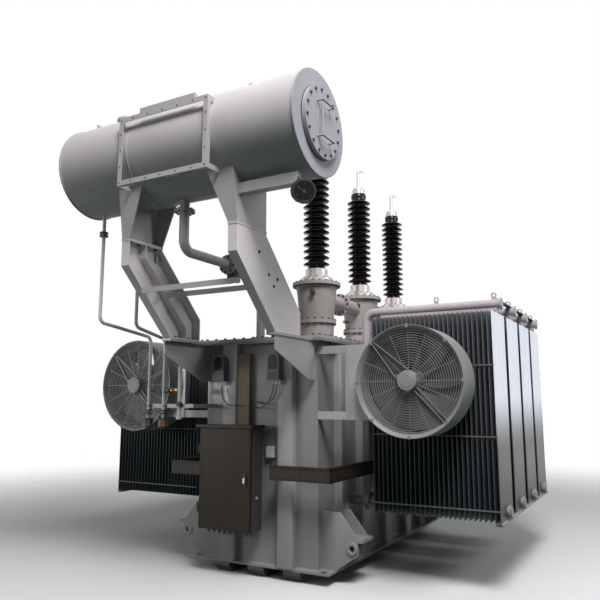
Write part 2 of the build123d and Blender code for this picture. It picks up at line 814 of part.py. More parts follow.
for name, side in (("left", -1), ("right", 1)):
    with BuildPart() as shroud:
        with BuildSketch(Plane(origin=(side * fan_x, 0, fan_z), x_dir=(1, 0, 0), z_dir=(0, 0, 1))):
            back = fan_front + fan_depth
            throat = fan_front + fan_bell
            with BuildLine():
                Polyline((fan_mouth_radius, fan_front), (fan_rim_radius, fan_front),
                         (fan_rim_radius, back), (fan_barrel_radius, back), (fan_barrel_radius, throat))
                TangentArc((fan_barrel_radius, throat), (fan_mouth_radius, fan_front), tangent=(0, -1))
            make_face()
        revolve(axis=Axis((side * fan_x, 0, fan_z), (0, 1, 0)))
    save(shroud, f"fan_shroud_{name}")

    with BuildPart() as guard:
        inner_radius = (motor_radius + seat_gap) / math.cos(math.pi / guard_sides) + guard_bar
        ring_step = (guard_radius - inner_radius) / (guard_ring_count - 1)
        with BuildSketch(fan_plane(side, guard_back)):
            for i in range(guard_ring_count):
                guard_ring(guard_radius - i * ring_step)
            spoke = guard_radius - inner_radius
            with PolarLocations(guard_radius - guard_bar / 2 - spoke / 2, guard_spokes):
                Rectangle(spoke, guard_bar)
        extrude(amount=guard_bar)
    save(guard, f"fan_guard_{name}")

    with BuildPart() as rotor:
        rod((side * fan_x, hub_front, fan_z), (side * fan_x, hub_front + hub_length, fan_z), hub_radius)
        hub_plane = fan_plane(side, hub_front + hub_length / 2)
        with Locations(hub_plane.location):
            with PolarLocations(0, blade_count):
                add(blade.part)
        rod((side * fan_x, hub_front, fan_z), (side * fan_x, hub_front + hub_length, fan_z),
            shaft_radius + pin_gap, Mode.SUBTRACT)
    save(rotor, f"fan_rotor_{name}")

with BuildPart() as motors:
    rod((fan_x, motor_front, fan_z), (fan_x, motor_back, fan_z), motor_radius)
    rod((fan_x, motor_back, fan_z), (fan_x, motor_back + shaft_length, fan_z), shaft_radius)
    mirror(about=Plane.YZ)
save(motors, "fan_motors")

with BuildPart() as fan_brackets:
    seat_radius = fan_rim_radius + seat_gap
    plate_end = fan_x - math.sqrt(seat_radius**2 - fan_plate_half**2)
    strip_end = fan_strip_x + leg_plate
    low = fan_z - fan_plate_half
    high = fan_z + fan_plate_half
    with BuildSketch(Plane.XZ.offset(-fan_plate_y - fan_plate / 2)):
        Polygon((fan_strip_x, low), (plate_end, low), (plate_end, high), (fan_strip_x, high))
        with Locations((fan_x, fan_z)):
            Circle(seat_radius, mode=Mode.SUBTRACT)
    extrude(amount=fan_plate)
    block(fan_strip_x, strip_end, fan_plate_y - fan_strip_depth / 2, fan_plate_y + fan_strip_depth / 2,
          low, high)
    half = fan_brace_height / 2
    for z in (fan_z - fan_brace_offset, fan_z + fan_brace_offset):
        block(half_x, fan_strip_x, fan_plate_y - fan_brace_depth / 2, fan_plate_y + fan_brace_depth / 2,
              z - half, z + half)
    mirror(about=Plane.YZ)
save(fan_brackets, "fan_brackets")

# Control cabinet, open at the front, under an overhanging roof
cabinet_front = stiffener_face - cabinet_depth
door_back = cabinet_front - running_gap
door_front = door_back - door_thickness
pin_x = cabinet_left - hinge_offset
pin_y = (door_front + door_back) / 2
hinge_levels = (cabinet_bottom + hinge_inset, cabinet_top - hinge_inset - hinge_length)
with BuildPart() as cabinet:
    block(cabinet_left, cabinet_right, cabinet_front, stiffener_face, cabinet_bottom, cabinet_top)
    block(cabinet_left + cabinet_wall, cabinet_right - cabinet_wall, cabinet_front,
          stiffener_face - cabinet_wall, cabinet_bottom + cabinet_wall, cabinet_top - cabinet_wall,
          mode=Mode.SUBTRACT)
save(cabinet, "control_cabinet")

with BuildPart() as roof:
    block(cabinet_left - roof_overhang, cabinet_right + roof_overhang, door_front - roof_overhang,
          stiffener_face, cabinet_top, cabinet_top + roof_thickness)
save(roof, "cabinet_roof")

# Lift-off hinges: a pin on an arm from the cabinet's side, under each barrel of the door
with BuildPart() as hinges:
    half = hinge_arm / 2
    for z in hinge_levels:
        low = z - running_gap - hinge_arm
        block(pin_x - half, cabinet_left, cabinet_front, cabinet_front + hinge_root, low, low + hinge_arm)
        block(pin_x - half, pin_x + half, pin_y - half, cabinet_front, low, low + hinge_arm)
        rod((pin_x, pin_y, low), (pin_x, pin_y, z + hinge_length), hinge_pin)
save(hinges, "cabinet_hinges")

with BuildPart() as door:
    block(cabinet_left + running_gap, cabinet_right, door_front, door_back,
          cabinet_bottom, cabinet_top - door_margin)
    for z in hinge_levels:
        block(pin_x, cabinet_left + running_gap, pin_y - hinge_pin, pin_y + hinge_pin, z, z + hinge_length)
        rod((pin_x, pin_y, z), (pin_x, pin_y, z + hinge_length), hinge_barrel)
        rod((pin_x, pin_y, z), (pin_x, pin_y, z + hinge_length), hinge_pin + pin_gap, Mode.SUBTRACT)
save(door, "cabinet_door")

with BuildPart() as latch:
    latch_x = cabinet_right - latch_inset
    latch_z = (cabinet_bottom + cabinet_top) / 2
    block(latch_x - latch_width / 2, latch_x + latch_width / 2, door_front - latch_depth, door_front,
          latch_z - latch_length / 2, latch_z + latch_length / 2)
save(latch, "cabinet_latch")

# Thermometer boxes on the stiffener faces
with BuildPart() as thermometers:
    for x in thermometer_x:
        with BuildSketch(Plane.XZ.offset(-stiffener_face)):
            with Locations((x, thermometer_level + thermometer_height / 2)):
                RectangleRounded(thermometer_width, thermometer_height, thermometer_corner)
    extrude(amount=thermometer_depth)
save(thermometers, "thermometers")

# Cable trunking: along the front and both sides on stand-off arms, and a riser on the end wall
with BuildPart() as trays:
    tray_front = -half_y - tray_stand_off
    tray_back = tray_front + tray_depth
    tray_top = tray_level + tray_height
    tray_corner_x = half_x + tray_stand_off
    arm_low = tray_level + tray_arm
    for inner, outer in ((tray_start, tray_corner_x), (-tray_corner_x, cabinet_left)):
        block(inner, outer, tray_front, tray_back, tray_level, tray_top)
    for x in (-tray_corner_x, tray_corner_x - tray_depth):
        block(x, x + tray_depth, tray_front, tray_rear, tray_level, tray_top)
    block(end_stiffener_x - tray_arm / 2, end_stiffener_x + tray_arm / 2, tray_back, stiffener_face,
          arm_low, arm_low + tray_arm)
    reach = tray_corner_x - tray_depth
    for y in (y for y in side_stiffener_y if y < tray_rear):
        for x0, x1 in ((half_x + stiffener_depth, reach), (-reach, -half_x - stiffener_depth)):
            block(x0, x1, y - tray_arm / 2, y + tray_arm / 2, arm_low, arm_low + tray_arm)
save(trays, "cable_trays")

with BuildPart() as riser:
    block(riser_x - riser_width / 2, riser_x + riser_width / 2, -half_y - riser_depth, -half_y,
          riser_bottom, riser_top)
save(riser, "cable_riser")


# Leads that hang from the thermometer boxes to the riser
def lead(start, end, course):
    """A limp tube along a route, with the roundest corners its runs allow."""
    points = [Vector(*start)]
    for along_x, along_y, drop in course:
        points.append(Vector(start[0] + along_x * (end[0] - start[0]),
                             start[1] + along_y * (end[1] - start[1]), start[2] - drop))
    runs = [far - near for near, far in zip(points, points[1:])]
    radii = []
    for before, after in zip(runs, runs[1:]):
        half_turn = math.radians(before.get_angle(after)) / 2
        radii.append(lead_corner * min(before.length, after.length) / math.tan(half_turn))
    print("lead radii", [round(radius) for radius in radii])
    return pipe(points, lead_diameter, radii)


box_y = stiffener_face - thermometer_depth / 2
riser_side = riser_x + riser_width / 2
riser_y = -half_y - riser_depth / 2
left_x, right_x = thermometer_x
for name, start, end, course in (
        ("left", (left_x + lead_offset, box_y), (riser_side - riser_width + lead_left_end,
                                                 -half_y - riser_depth), lead_left_course),
        ("right_upper", (right_x + lead_offset, box_y), (riser_side, riser_y), lead_upper_course),
        ("right_lower", (right_x - lead_offset, box_y), (riser_side, riser_y), lead_lower_course)):
    with BuildPart() as thermometer_lead:
        add(lead((*start, thermometer_level), end, course))
    save(thermometer_lead, f"lead_{name}")

# Closed cable box on the far end wall
with BuildPart() as cable_box:
    block(-box_width / 2, box_width / 2, -stiffener_face, -stiffener_face + box_depth,
          box_bottom, box_bottom + box_height)
save(cable_box, "cable_box")
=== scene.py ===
import math

import bmesh
import bpy
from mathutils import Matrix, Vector


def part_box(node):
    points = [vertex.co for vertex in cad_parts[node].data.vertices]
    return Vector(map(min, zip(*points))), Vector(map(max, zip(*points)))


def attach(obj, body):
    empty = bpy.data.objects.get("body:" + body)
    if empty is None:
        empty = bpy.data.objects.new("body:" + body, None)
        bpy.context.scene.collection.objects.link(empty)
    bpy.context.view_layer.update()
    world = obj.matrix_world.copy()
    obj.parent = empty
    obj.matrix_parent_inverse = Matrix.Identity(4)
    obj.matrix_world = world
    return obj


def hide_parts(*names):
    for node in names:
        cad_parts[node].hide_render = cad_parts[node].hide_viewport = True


# Looks of an oil-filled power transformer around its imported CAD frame. Metres, CAD axes.
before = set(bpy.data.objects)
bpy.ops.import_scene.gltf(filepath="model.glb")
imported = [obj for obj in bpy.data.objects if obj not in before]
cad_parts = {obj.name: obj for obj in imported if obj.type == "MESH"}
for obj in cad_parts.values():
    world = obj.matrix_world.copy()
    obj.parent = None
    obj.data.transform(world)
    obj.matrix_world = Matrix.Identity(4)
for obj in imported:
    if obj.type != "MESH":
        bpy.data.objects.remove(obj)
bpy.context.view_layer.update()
MAIN = "transformer"            # the body that most pieces ride on
RIGHT, FRONT, BACK, DOWN, UP = (1, 0, 0), (0, -1, 0), (0, 1, 0), (0, 0, -1), (0, 0, 1)


# Meshes
class Shape:
    """Faces gathered from simple forms, made into one mesh piece at the end."""

    def __init__(self):
        self.points, self.faces = [], []

    def add(self, points, faces):
        """Points, and faces that name them by their order."""
        base = len(self.points)
        self.points += [tuple(p) for p in points]
        self.faces += [[base + i for i in face] for face in faces]

    def prism(self, outline, axis, start, end):
        """A closed outline pushed along an axis: (x, z) along y, or (x, y) along z."""
        n = len(outline)
        place = {"y": lambda u, v, w: (u, w, v), "z": lambda u, v, w: (u, v, w)}[axis]
        sides = [[i, (i + 1) % n, n + (i + 1) % n, n + i] for i in range(n)]
        self.add([place(u, v, w) for w in (start, end) for u, v in outline],
                 [list(range(n)), list(range(n, 2 * n))] + sides)

    def box(self, x0, x1, y0, y1, z0, z1, bevel=0.002):
        """A box with chamfered edges."""
        middle = Vector(((x0 + x1) / 2, (y0 + y1) / 2, (z0 + z1) / 2))
        half = Vector((x1 - x0, y1 - y0, z1 - z0)) / 2
        index, points = {}, []
        signs = [(i, j, k) for i in (-1, 1) for j in (-1, 1) for k in (-1, 1)]
        for corner in signs:
            for face in range(3):
                reach = [half[a] - (0 if a == face else bevel) for a in range(3)]
                index[corner, face] = len(points)
                points.append(middle + Vector([s * r for s, r in zip(corner, reach)]))
        faces = [[index[c, f] for f in range(3)] for c in signs]
        for axis in range(3):
            b, c = (axis + 1) % 3, (axis + 2) % 3
            for sign in (-1, 1):
                ring = []
                for sb, sc in ((-1, -1), (1, -1), (1, 1), (-1, 1)):
                    corner = [0, 0, 0]
                    corner[axis], corner[b], corner[c] = sign, sb, sc
                    ring.append(index[tuple(corner), axis])
                faces.append(ring)
            for sb in (-1, 1):
                for sc in (-1, 1):
                    low, high = [0, 0, 0], [0, 0, 0]
                    low[axis], high[axis] = -1, 1
                    low[b] = high[b] = sb
                    low[c] = high[c] = sc
                    low, high = tuple(low), tuple(high)
                    faces.append([index[low, b], index[high, b], index[high, c], index[low, c]])
        self.add(points, faces)

    def lathe(self, profile, origin, axis=UP, sides=32, closed=False):
        """A profile of (radius, height) pairs turned round an axis."""
        frame_of = Vector(axis).to_track_quat("Z", "X").to_matrix()
        origin = Vector(origin)
        rings, points, faces = [], [], []
        for radius, height in profile:
            count = sides if radius > 1e-6 else 1
            rings.append([len(points) + k for k in range(count)])
            for k in range(count):
                angle = 2 * math.pi * k / sides
                local = Vector((radius * math.cos(angle), radius * math.sin(angle), height))
                points.append(origin + frame_of @ local)
        pairs = list(zip(rings, rings[1:])) + ([(rings[-1], rings[0])] if closed else [])
        for low, high in pairs:
            for k in range(sides):
                face = [low[k % len(low)], low[(k + 1) % len(low)],
                        high[(k + 1) % len(high)], high[k % len(high)]]
                face = [p for i, p in enumerate(face) if p not in face[:i]]
                if len(face) > 2:
                    faces.append(face)
        self.add(points, faces)

    def disc(self, origin, axis, radius, start, end, sides=32, bevel=0.002):
        """A solid round plate between two heights along its axis."""
        self.lathe([(0, start), (radius - bevel, start), (radius, start + bevel),
                    (radius, end - bevel), (radius - bevel, end), (0, end)], origin, axis, sides)

    def ring(self, origin, axis, radius, wire, sides=64, wire_sides=6):
        """A ring of round wire."""
        section = [(radius + wire * math.cos(2 * math.pi * i / wire_sides),
                    wire * math.sin(2 * math.pi * i / wire_sides)) for i in range(wire_sides)]
        self.lathe(section, origin, axis, sides, closed=True)

    def bar(self, start, end, radius, sides=8):
        """A straight round bar."""
        start, end = Vector(start), Vector(end)
        self.lathe([(0, 0), (radius, 0), (radius, (end - start).length), (0, (end - start).length)],
                   start, end - start, sides)

    def bolt(self, at, axis, size):
        """A hexagon head on a washer; size is the head's radius."""
        self.lathe([(1.4 * size, 0), (1.4 * size, 0.25 * size), (0, 0.25 * size)], at, axis, 12)
        self.lathe([(size, 0.2 * size), (size, 0.95 * size), (0.85 * size, 1.1 * size),
                    (0, 1.1 * size)], at, axis, 6)

    def bolts(self, places, axis, size):
        """A hexagon head at each place."""
        for place in places:
            self.bolt(place, axis, size)

    def discs(self, places, axis, radius, height):
        """A flat round head at each place."""
        for place in places:
            self.disc(place, axis, radius, -height, height, 12, height / 3)


def around(centre, axis, radius, count, turn=0.0):
    """Evenly spaced places on a circle round an axis."""
    frame_of = Vector(axis).to_track_quat("Z", "X").to_matrix()
    for k in range(count):
        angle = turn + 2 * math.pi * k / count
        yield Vector(centre) + frame_of @ Vector((radius * math.cos(angle), radius * math.sin(angle), 0))


def spread(first, last, count):
    """Evenly spaced values from the first to the last."""
    return [first + (last - first) * k / (count - 1) for k in range(count)]


def rounded(x0, x1, y0, y1, radius, steps=5):
    """The outline of a rectangle with round corners."""
    corners = ((x1 - radius, y1 - radius, 0), (x0 + radius, y1 - radius, 90),
               (x0 + radius, y0 + radius, 180), (x1 - radius, y0 + radius, 270))
    return [(x + radius * math.cos(math.radians(start + 90 * i / steps)),
             y + radius * math.sin(math.radians(start + 90 * i / steps)))
            for x, y, start in corners for i in range(steps + 1)]


def arched(x, half, bottom, top):
    """An outline with a flat foot and a round top."""
    return [(x - half, bottom), (x + half, bottom)] + [
        (x + half * math.cos(math.radians(a)), top - half + half * math.sin(math.radians(a)))
        for a in range(0, 181, 12)]


def make(shape, name, slot, look=None, body=MAIN, stands_for=(), sharp=35):
    """One mesh piece that rides on a body, in a finish, in place of any CAD nodes it stands for.
    Its finish is its slot's, unless another look is named."""
    mesh = bpy.data.meshes.new(name)
    mesh.from_pydata(shape.points, [], shape.faces)
    work = bmesh.new()
    work.from_mesh(mesh)
    bmesh.ops.recalc_face_normals(work, faces=work.faces)
    work.to_mesh(mesh)
    work.free()
    mesh.shade_smooth()
    mesh.set_sharp_from_angle(angle=math.radians(sharp))
    mesh.materials.append(finishes[look or slot])
    piece = bpy.data.objects.new(name, mesh)
    bpy.context.scene.collection.objects.link(piece)
    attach(piece, body)
    if stands_for:
        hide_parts(*stands_for)


# Finishes
def remap(tree, link, value, old=(0.0, 1.0), new=(0.0, 1.0), smooth=False):
    """A value moved from one range to another."""
    node = tree.new("ShaderNodeMapRange")
    node.interpolation_type = "SMOOTHSTEP" if smooth else "LINEAR"
    for socket, number in zip(("From Min", "From Max", "To Min", "To Max"), (*old, *new)):
        node.inputs[socket].default_value = number
    link(value, node.inputs["Value"])
    return node.outputs["Result"]


def noise(tree, link, place, scale, detail, roughness):
    """Soft clouds at a low scale, a grain at a high one."""
    node = tree.new("ShaderNodeTexNoise")
    for socket, number in (("Scale", scale), ("Detail", detail), ("Roughness", roughness)):
        node.inputs[socket].default_value = number
    link(place, node.inputs["Vector"])
    return node.outputs["Fac"]


def mixed(tree, link, factor, first, second):
    """A colour that turns into a second one, which may be a node's output."""
    node = tree.new("ShaderNodeMix")
    node.data_type = "RGBA"
    node.inputs["A"].default_value = (*first, 1)
    if isinstance(second, tuple):
        node.inputs["B"].default_value = (*second, 1)
    else:
        link(second, node.inputs["B"])
    link(factor, node.inputs["Factor"])
    return node.outputs["Result"]


COAT_ROUGHNESS, RELIEF_DEPTH = 0.12, 0.004
CLOUDS, GRAINS = (7.0, 0.62), (3.0, 0.5)    # detail and roughness of a noise
CLOUD_RANGE = (0.3, 0.7)        # the part of the clouds' values that turns one colour into the other
finishes = {}


def finish(name, colour, other, rough, metallic=0.0, coat=0.0, specular=0.5, scale=3.0,
           stretch=(1, 1, 1), rough_swing=0.08, grain=90.0, bump=0.04, edge_tint=1.0,
           fade=None, metal_low=None):
    """A procedural finish: two colours in soft clouds or streaks, uneven gloss and a fine grain.
    edge_tint dims the shine at a glancing angle, and fade is (low z, high z, colour at the low end),
    which darkens the colour towards the ground: painted reflection and shade on the radiators, painted
    shade on the headers. metal_low is how metallic it is there."""
    material = finishes[name] = bpy.data.materials.new(name)
    material.use_nodes = True
    tree, link = material.node_tree.nodes, material.node_tree.links.new
    shader = tree["Principled BSDF"]
    for socket, value in (("Metallic", metallic), ("Coat Weight", coat), ("Coat Roughness", COAT_ROUGHNESS),
                          ("Specular IOR Level", specular),
                          ("Specular Tint", (edge_tint, edge_tint, edge_tint, 1))):
        shader.inputs[socket].default_value = value
    coords = tree.new("ShaderNodeTexCoord").outputs["Object"]
    mapping = tree.new("ShaderNodeMapping")
    mapping.inputs["Scale"].default_value = stretch
    link(coords, mapping.inputs["Vector"])
    place = mapping.outputs["Vector"]
    clouds = noise(tree, link, place, scale, *CLOUDS)
    shade = mixed(tree, link, remap(tree, link, clouds, CLOUD_RANGE), colour, other)
    if fade:
        low, high, ground = fade
        split = tree.new("ShaderNodeSeparateXYZ")
        link(coords, split.inputs["Vector"])
        rise = remap(tree, link, split.outputs["Z"], (low, high), smooth=True)
        shade = mixed(tree, link, rise, ground, shade)
        if metal_low is not None:
            link(remap(tree, link, rise, new=(metal_low, metallic)), shader.inputs["Metallic"])
    link(shade, shader.inputs["Base Color"])
    gloss = remap(tree, link, clouds, new=(rough - rough_swing, rough + rough_swing))
    link(gloss, shader.inputs["Roughness"])
    relief = tree.new("ShaderNodeBump")
    relief.inputs["Strength"].default_value = bump
    relief.inputs["Distance"].default_value = RELIEF_DEPTH
    link(noise(tree, link, place, grain, *GRAINS), relief.inputs["Height"])
    link(relief.outputs["Normal"], shader.inputs["Normal"])


UPRIGHT = (5.0, 5.0, 0.35)      # stretches a finish into upright streaks
finish("tank_paint", (0.46, 0.44, 0.455), (0.40, 0.395, 0.41), 0.40, coat=0.25, specular=0.3, scale=2.2,
       stretch=(1, 1, 0.6), fade=(0.1, 1.1, (0.28, 0.285, 0.275)))
# The tank walls: a darker copy of tank_paint, painted shade for the recess and side walls that lie in
# shadow
finish("shaded_wall_paint", (0.30, 0.29, 0.30), (0.26, 0.255, 0.265), 0.42, coat=0.2, specular=0.3, scale=2.2,
       stretch=(1, 1, 0.6), fade=(0.1, 1.1, (0.26, 0.265, 0.255)))
finish("drum_paint", (0.54, 0.52, 0.54), (0.48, 0.465, 0.485), 0.46, specular=0.06, scale=2.2,
       edge_tint=0.1)
# The drum's end plates, manhole cover and handle: a darker, bluish copy of the drum paint, painted shade
finish("shaded_end_paint", (0.38, 0.38, 0.42), (0.34, 0.34, 0.375), 0.46, specular=0.15, scale=2.2)
# The legs: a much paler copy of the tank paint, painted light on legs that lie in the drum's shadow
finish("lit_leg_paint", (0.76, 0.71, 0.725), (0.69, 0.65, 0.665), 0.45, specular=0.2, scale=2.2)
finish("turret_paint", (0.40, 0.37, 0.36), (0.35, 0.325, 0.315), 0.45, specular=0.22, scale=2.5)
# The breather pipes: a paler copy of the paint, painted light on pipes that lie in the drum's shadow
finish("lit_pipe_paint", (0.85, 0.82, 0.82), (0.74, 0.72, 0.72), 0.42, specular=0.3)
finish("skid_paint", (0.04, 0.05, 0.045), (0.06, 0.065, 0.06), 0.62, scale=6)
finish("fan_paint", (0.29, 0.30, 0.30), (0.245, 0.25, 0.25), 0.42, specular=0.35, scale=4)
finish("guard_wire", (0.25, 0.265, 0.27), (0.20, 0.21, 0.215), 0.45, specular=0.3)
# A paler copy of the guard paint for the left fan: painted light on a fan in the drum's shadow
finish("lit_fan_wire", (0.52, 0.54, 0.53), (0.44, 0.46, 0.45), 0.45, specular=0.3)
finish("rotor_alloy", (0.11, 0.118, 0.118), (0.085, 0.09, 0.09), 0.5, metallic=0.2)
# The outermost radiator panels: a painted reflection, bright blue-white above, dark and less metallic below
finish("radiator_steel", (0.80, 0.85, 0.95), (0.68, 0.73, 0.82), 0.30, metallic=0.85, specular=0.1,
       scale=5, stretch=UPRIGHT, rough_swing=0.06, grain=30, bump=0.02,
       fade=(1.2, 1.75, (0.10, 0.10, 0.102)), metal_low=0.15)
# The inner radiator panels: a darker copy of the radiator steel, painted shade, darker still towards the
# ground
finish("shaded_radiator_fin", (0.18, 0.185, 0.205), (0.14, 0.145, 0.165), 0.5, metallic=0.2, specular=0.2,
       scale=5, stretch=UPRIGHT, fade=(0.6, 2.3, (0.06, 0.075, 0.083)))
finish("tie_steel", (0.16, 0.16, 0.165), (0.12, 0.12, 0.125), 0.5, specular=0.25)
# The headers darken towards the ground: painted shade on the lower pipes
finish("header_paint", (0.54, 0.48, 0.51), (0.46, 0.42, 0.44), 0.36, specular=0.35,
       fade=(0.5, 1.6, (0.30, 0.27, 0.285)))
finish("porcelain", (0.0035, 0.0028, 0.0028), (0.009, 0.005, 0.004), 0.15, specular=0.25,
       rough_swing=0.04, scale=5)
finish("bright_metal", (0.60, 0.55, 0.54), (0.48, 0.44, 0.43), 0.32, metallic=0.8)
# Stainless cabinet door and roof: dark brown, a painted reflection of dark brown surroundings in the steel
finish("stainless", (0.021, 0.0145, 0.0085), (0.014, 0.0097, 0.0057), 0.42, metallic=0.3, specular=0.3,
       scale=4, stretch=UPRIGHT)
finish("cabinet_side", (0.065, 0.067, 0.075), (0.05, 0.052, 0.058), 0.45, specular=0.3, scale=4,
       stretch=UPRIGHT)
# Stainless trays: the same painted reflection of dark brown surroundings
finish("tray_steel", (0.021, 0.015, 0.009), (0.0135, 0.0098, 0.006), 0.45, metallic=0.3, specular=0.3,
       scale=4)
# Stainless riser: brown, a painted reflection of brown surroundings in its sheet
finish("riser_sheet", (0.26, 0.19, 0.13), (0.18, 0.13, 0.09), 0.5, specular=0.2, scale=9)
finish("black_fitting", (0.012, 0.012, 0.013), (0.02, 0.02, 0.022), 0.5)
finish("lead_sheath", (0.02, 0.024, 0.028), (0.03, 0.034, 0.04), 0.5)
finish("pale_fitting", (0.82, 0.80, 0.78), (0.72, 0.70, 0.68), 0.5)
finish("plate_paint", (0.20, 0.16, 0.155), (0.16, 0.13, 0.125), 0.5, specular=0.2)
finish("gauge_case", (0.10, 0.10, 0.118), (0.07, 0.072, 0.085), 0.42, specular=0.35)
finish("gauge_head", (0.014, 0.017, 0.026), (0.024, 0.027, 0.038), 0.4, specular=0.35)
finish("dark_glass", (0.006, 0.006, 0.008), (0.012, 0.012, 0.014), 0.34, specular=0.2, rough_swing=0.02)
finish("relay_casting", (0.11, 0.085, 0.07), (0.065, 0.052, 0.044), 0.5, bump=0.2)
finish("breather_glass", (0.25, 0.10, 0.02), (0.12, 0.045, 0.012), 0.2, coat=0.1, scale=30)
finish("breather_blue", (0.010, 0.014, 0.032), (0.02, 0.025, 0.05), 0.2, coat=0.1, scale=30)
finish("brass", (0.45, 0.24, 0.07), (0.30, 0.15, 0.045), 0.35, metallic=0.7)
# Bolt heads, rivets and clips share the grey paint; this dark copy of it is painted shade
finish("shaded_bolt_paint", (0.075, 0.075, 0.08), (0.045, 0.045, 0.05), 0.42, metallic=0.4)

NODES_IN = {                    # the CAD nodes in each finish; the rest are in tank_paint
    "shaded_wall_paint": ["tank_body"],
    "drum_paint": ["conservator_drum"],
    "shaded_end_paint": ["manhole_cover"],
    "lit_leg_paint": ["leg_left", "leg_right"],
    "turret_paint": ["turret_front", "turret_middle", "turret_rear", "turret_links"],
    "lit_pipe_paint": ["breather_pipes"],
    "skid_paint": ["skids"],
    "fan_paint": ["fan_shroud_left", "fan_shroud_right", "fan_guard_left", "fan_guard_right", "fan_motors"],
    "rotor_alloy": ["fan_rotor_left", "fan_rotor_right"],
    "radiator_steel": ["radiator_bank_left", "radiator_bank_right"],
    "header_paint": ["radiator_headers_left", "radiator_headers_right"],
    "tie_steel": ["radiator_ties"],
    "porcelain": ["insulator_front", "insulator_middle", "insulator_rear"],
    "bright_metal": ["terminals", "bushing_feet"],
    "stainless": ["cabinet_roof", "cabinet_door", "cabinet_hinges"],
    "cabinet_side": ["control_cabinet"],
    "tray_steel": ["cable_trays"],
    "riser_sheet": ["cable_riser"],
    "black_fitting": ["cabinet_latch", "lead_left", "lead_right_upper", "lead_right_lower"],
    "gauge_case": ["thermometers", "level_gauge"],
    "relay_casting": ["gas_relay"],
    "breather_glass": ["breathers"],
}
finish_of = {node: name for name, members in NODES_IN.items() for node in members}
for name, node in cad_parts.items():
    node.data.materials.clear()
    node.data.materials.append(finishes[finish_of.get(name, "tank_paint")])

# Bushings: thin sheds on a slim core, in place of the plain insulators
PHASES = ("front", "middle", "rear")
BUSHING_X, BUSHING_Y = 0.41, (-1.13, 0.0, 1.12)
SHEDS, BARE_ENDS = 15, 1.5      # sheds of an insulator, and the pitches left bare at its two ends
CORE_SHARE = 0.6                # core radius over shed radius
for where in PHASES:
    low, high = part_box(f"insulator_{where}")
    centre = (low + high) / 2
    widest = (high.x - low.x) / 2
    core = widest * CORE_SHARE
    pitch = (high.z - low.z) / (SHEDS + BARE_ENDS)
    profile = [(0, low.z), (core * 1.12, low.z), (core * 1.12, low.z + 0.3 * pitch)]
    for i in range(SHEDS):
        z = low.z + (i + 0.45) * pitch
        profile += [(core, z), (core * 1.03, z + 0.12 * pitch), (widest * 0.98, z + 0.30 * pitch),
                    (widest, z + 0.36 * pitch), (widest * 0.975, z + 0.43 * pitch),
                    (core * 1.1, z + 0.78 * pitch), (core, z + 0.95 * pitch)]
    profile += [(core * 1.1, high.z - 0.7 * pitch), (core * 1.1, high.z - 0.1 * pitch),
                (core * 1.02, high.z), (0, high.z)]
    shape = Shape()
    shape.lathe(profile, (centre.x, centre.y, 0), sides=48)
    make(shape, f"shed_stack_{where}", "porcelain", stands_for=[f"insulator_{where}"], sharp=60)

# Bolts round the flanges of turrets and bushing feet
FLANGE_BOLT = 0.012
WAIST_OVER, WAIST_UNDER = 2.51, 2.47        # faces of the flange low on a turret
shape = Shape()
for where in PHASES:
    low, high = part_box(f"turret_{where}")
    x, y = (low.x + high.x) / 2, (low.y + high.y) / 2
    # height, way the heads face, radius of the bolt circle, bolts
    for z, axis, radius, count in ((high.z, UP, 0.232, 20), (high.z - 0.034, DOWN, 0.238, 20),
                                   (WAIST_OVER, UP, 0.193, 16), (WAIST_UNDER, DOWN, 0.194, 16),
                                   (high.z + 0.05, UP, 0.148, 12)):
        shape.bolts(around((x, y, z), UP, radius, count), axis, FLANGE_BOLT)
make(shape, "turret_bolts", "black_fitting", "shaded_bolt_paint")

# Leads that hang from the thermometer boxes to the riser, along the same routes as in CAD
LEAD_ROUTES = {
    "lead_left": (0.406, [(-0.39, -1.705, 1.83), (-0.39, -1.705, 1.765), (-0.36075, -1.718, 1.7),
                          (-0.30225, -1.744, 1.65), (-0.24375, -1.75375, 1.628),
                          (-0.195, -1.7063, 1.625), (-0.195, -1.64, 1.625)]),
    "lead_right_upper": (0.499, [(0.27, -1.705, 1.83), (0.27, -1.705, 1.76), (0.21525, -1.69075, 1.68),
                                 (0.1094, -1.6632, 1.63), (-0.0001, -1.61, 1.665),
                                 (-0.095, -1.61, 1.665)]),
    "lead_right_lower": (0.5035, [(0.23, -1.705, 1.83), (0.23, -1.705, 1.745), (0.17475, -1.724, 1.65),
                                  (0.07075, -1.686, 1.59), (-0.02025, -1.61, 1.61),
                                  (-0.095, -1.61, 1.61)]),
}
LEAD_DIAMETER = 0.01
for name, (length, route) in LEAD_ROUTES.items():
    curve = bpy.data.curves.new(name, "CURVE")
    curve.dimensions = "3D"
    curve.bevel_depth = LEAD_DIAMETER / 2
    curve.use_fill_caps = True
    spline = curve.splines.new("NURBS")
    spline.points.add(len(route) - 1)
    for point, place in zip(spline.points, route):
        point.co = (*place, 1)
    spline.order_u = 3
    spline.use_endpoint_u = True
    spline.resolution_u = 8
    curve.materials.append(finishes["lead_sheath"])
    lead = bpy.data.objects.new(f"hanging_{name}", curve)
    bpy.context.scene.collection.objects.link(lead)
    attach(lead, MAIN)
    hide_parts(name)

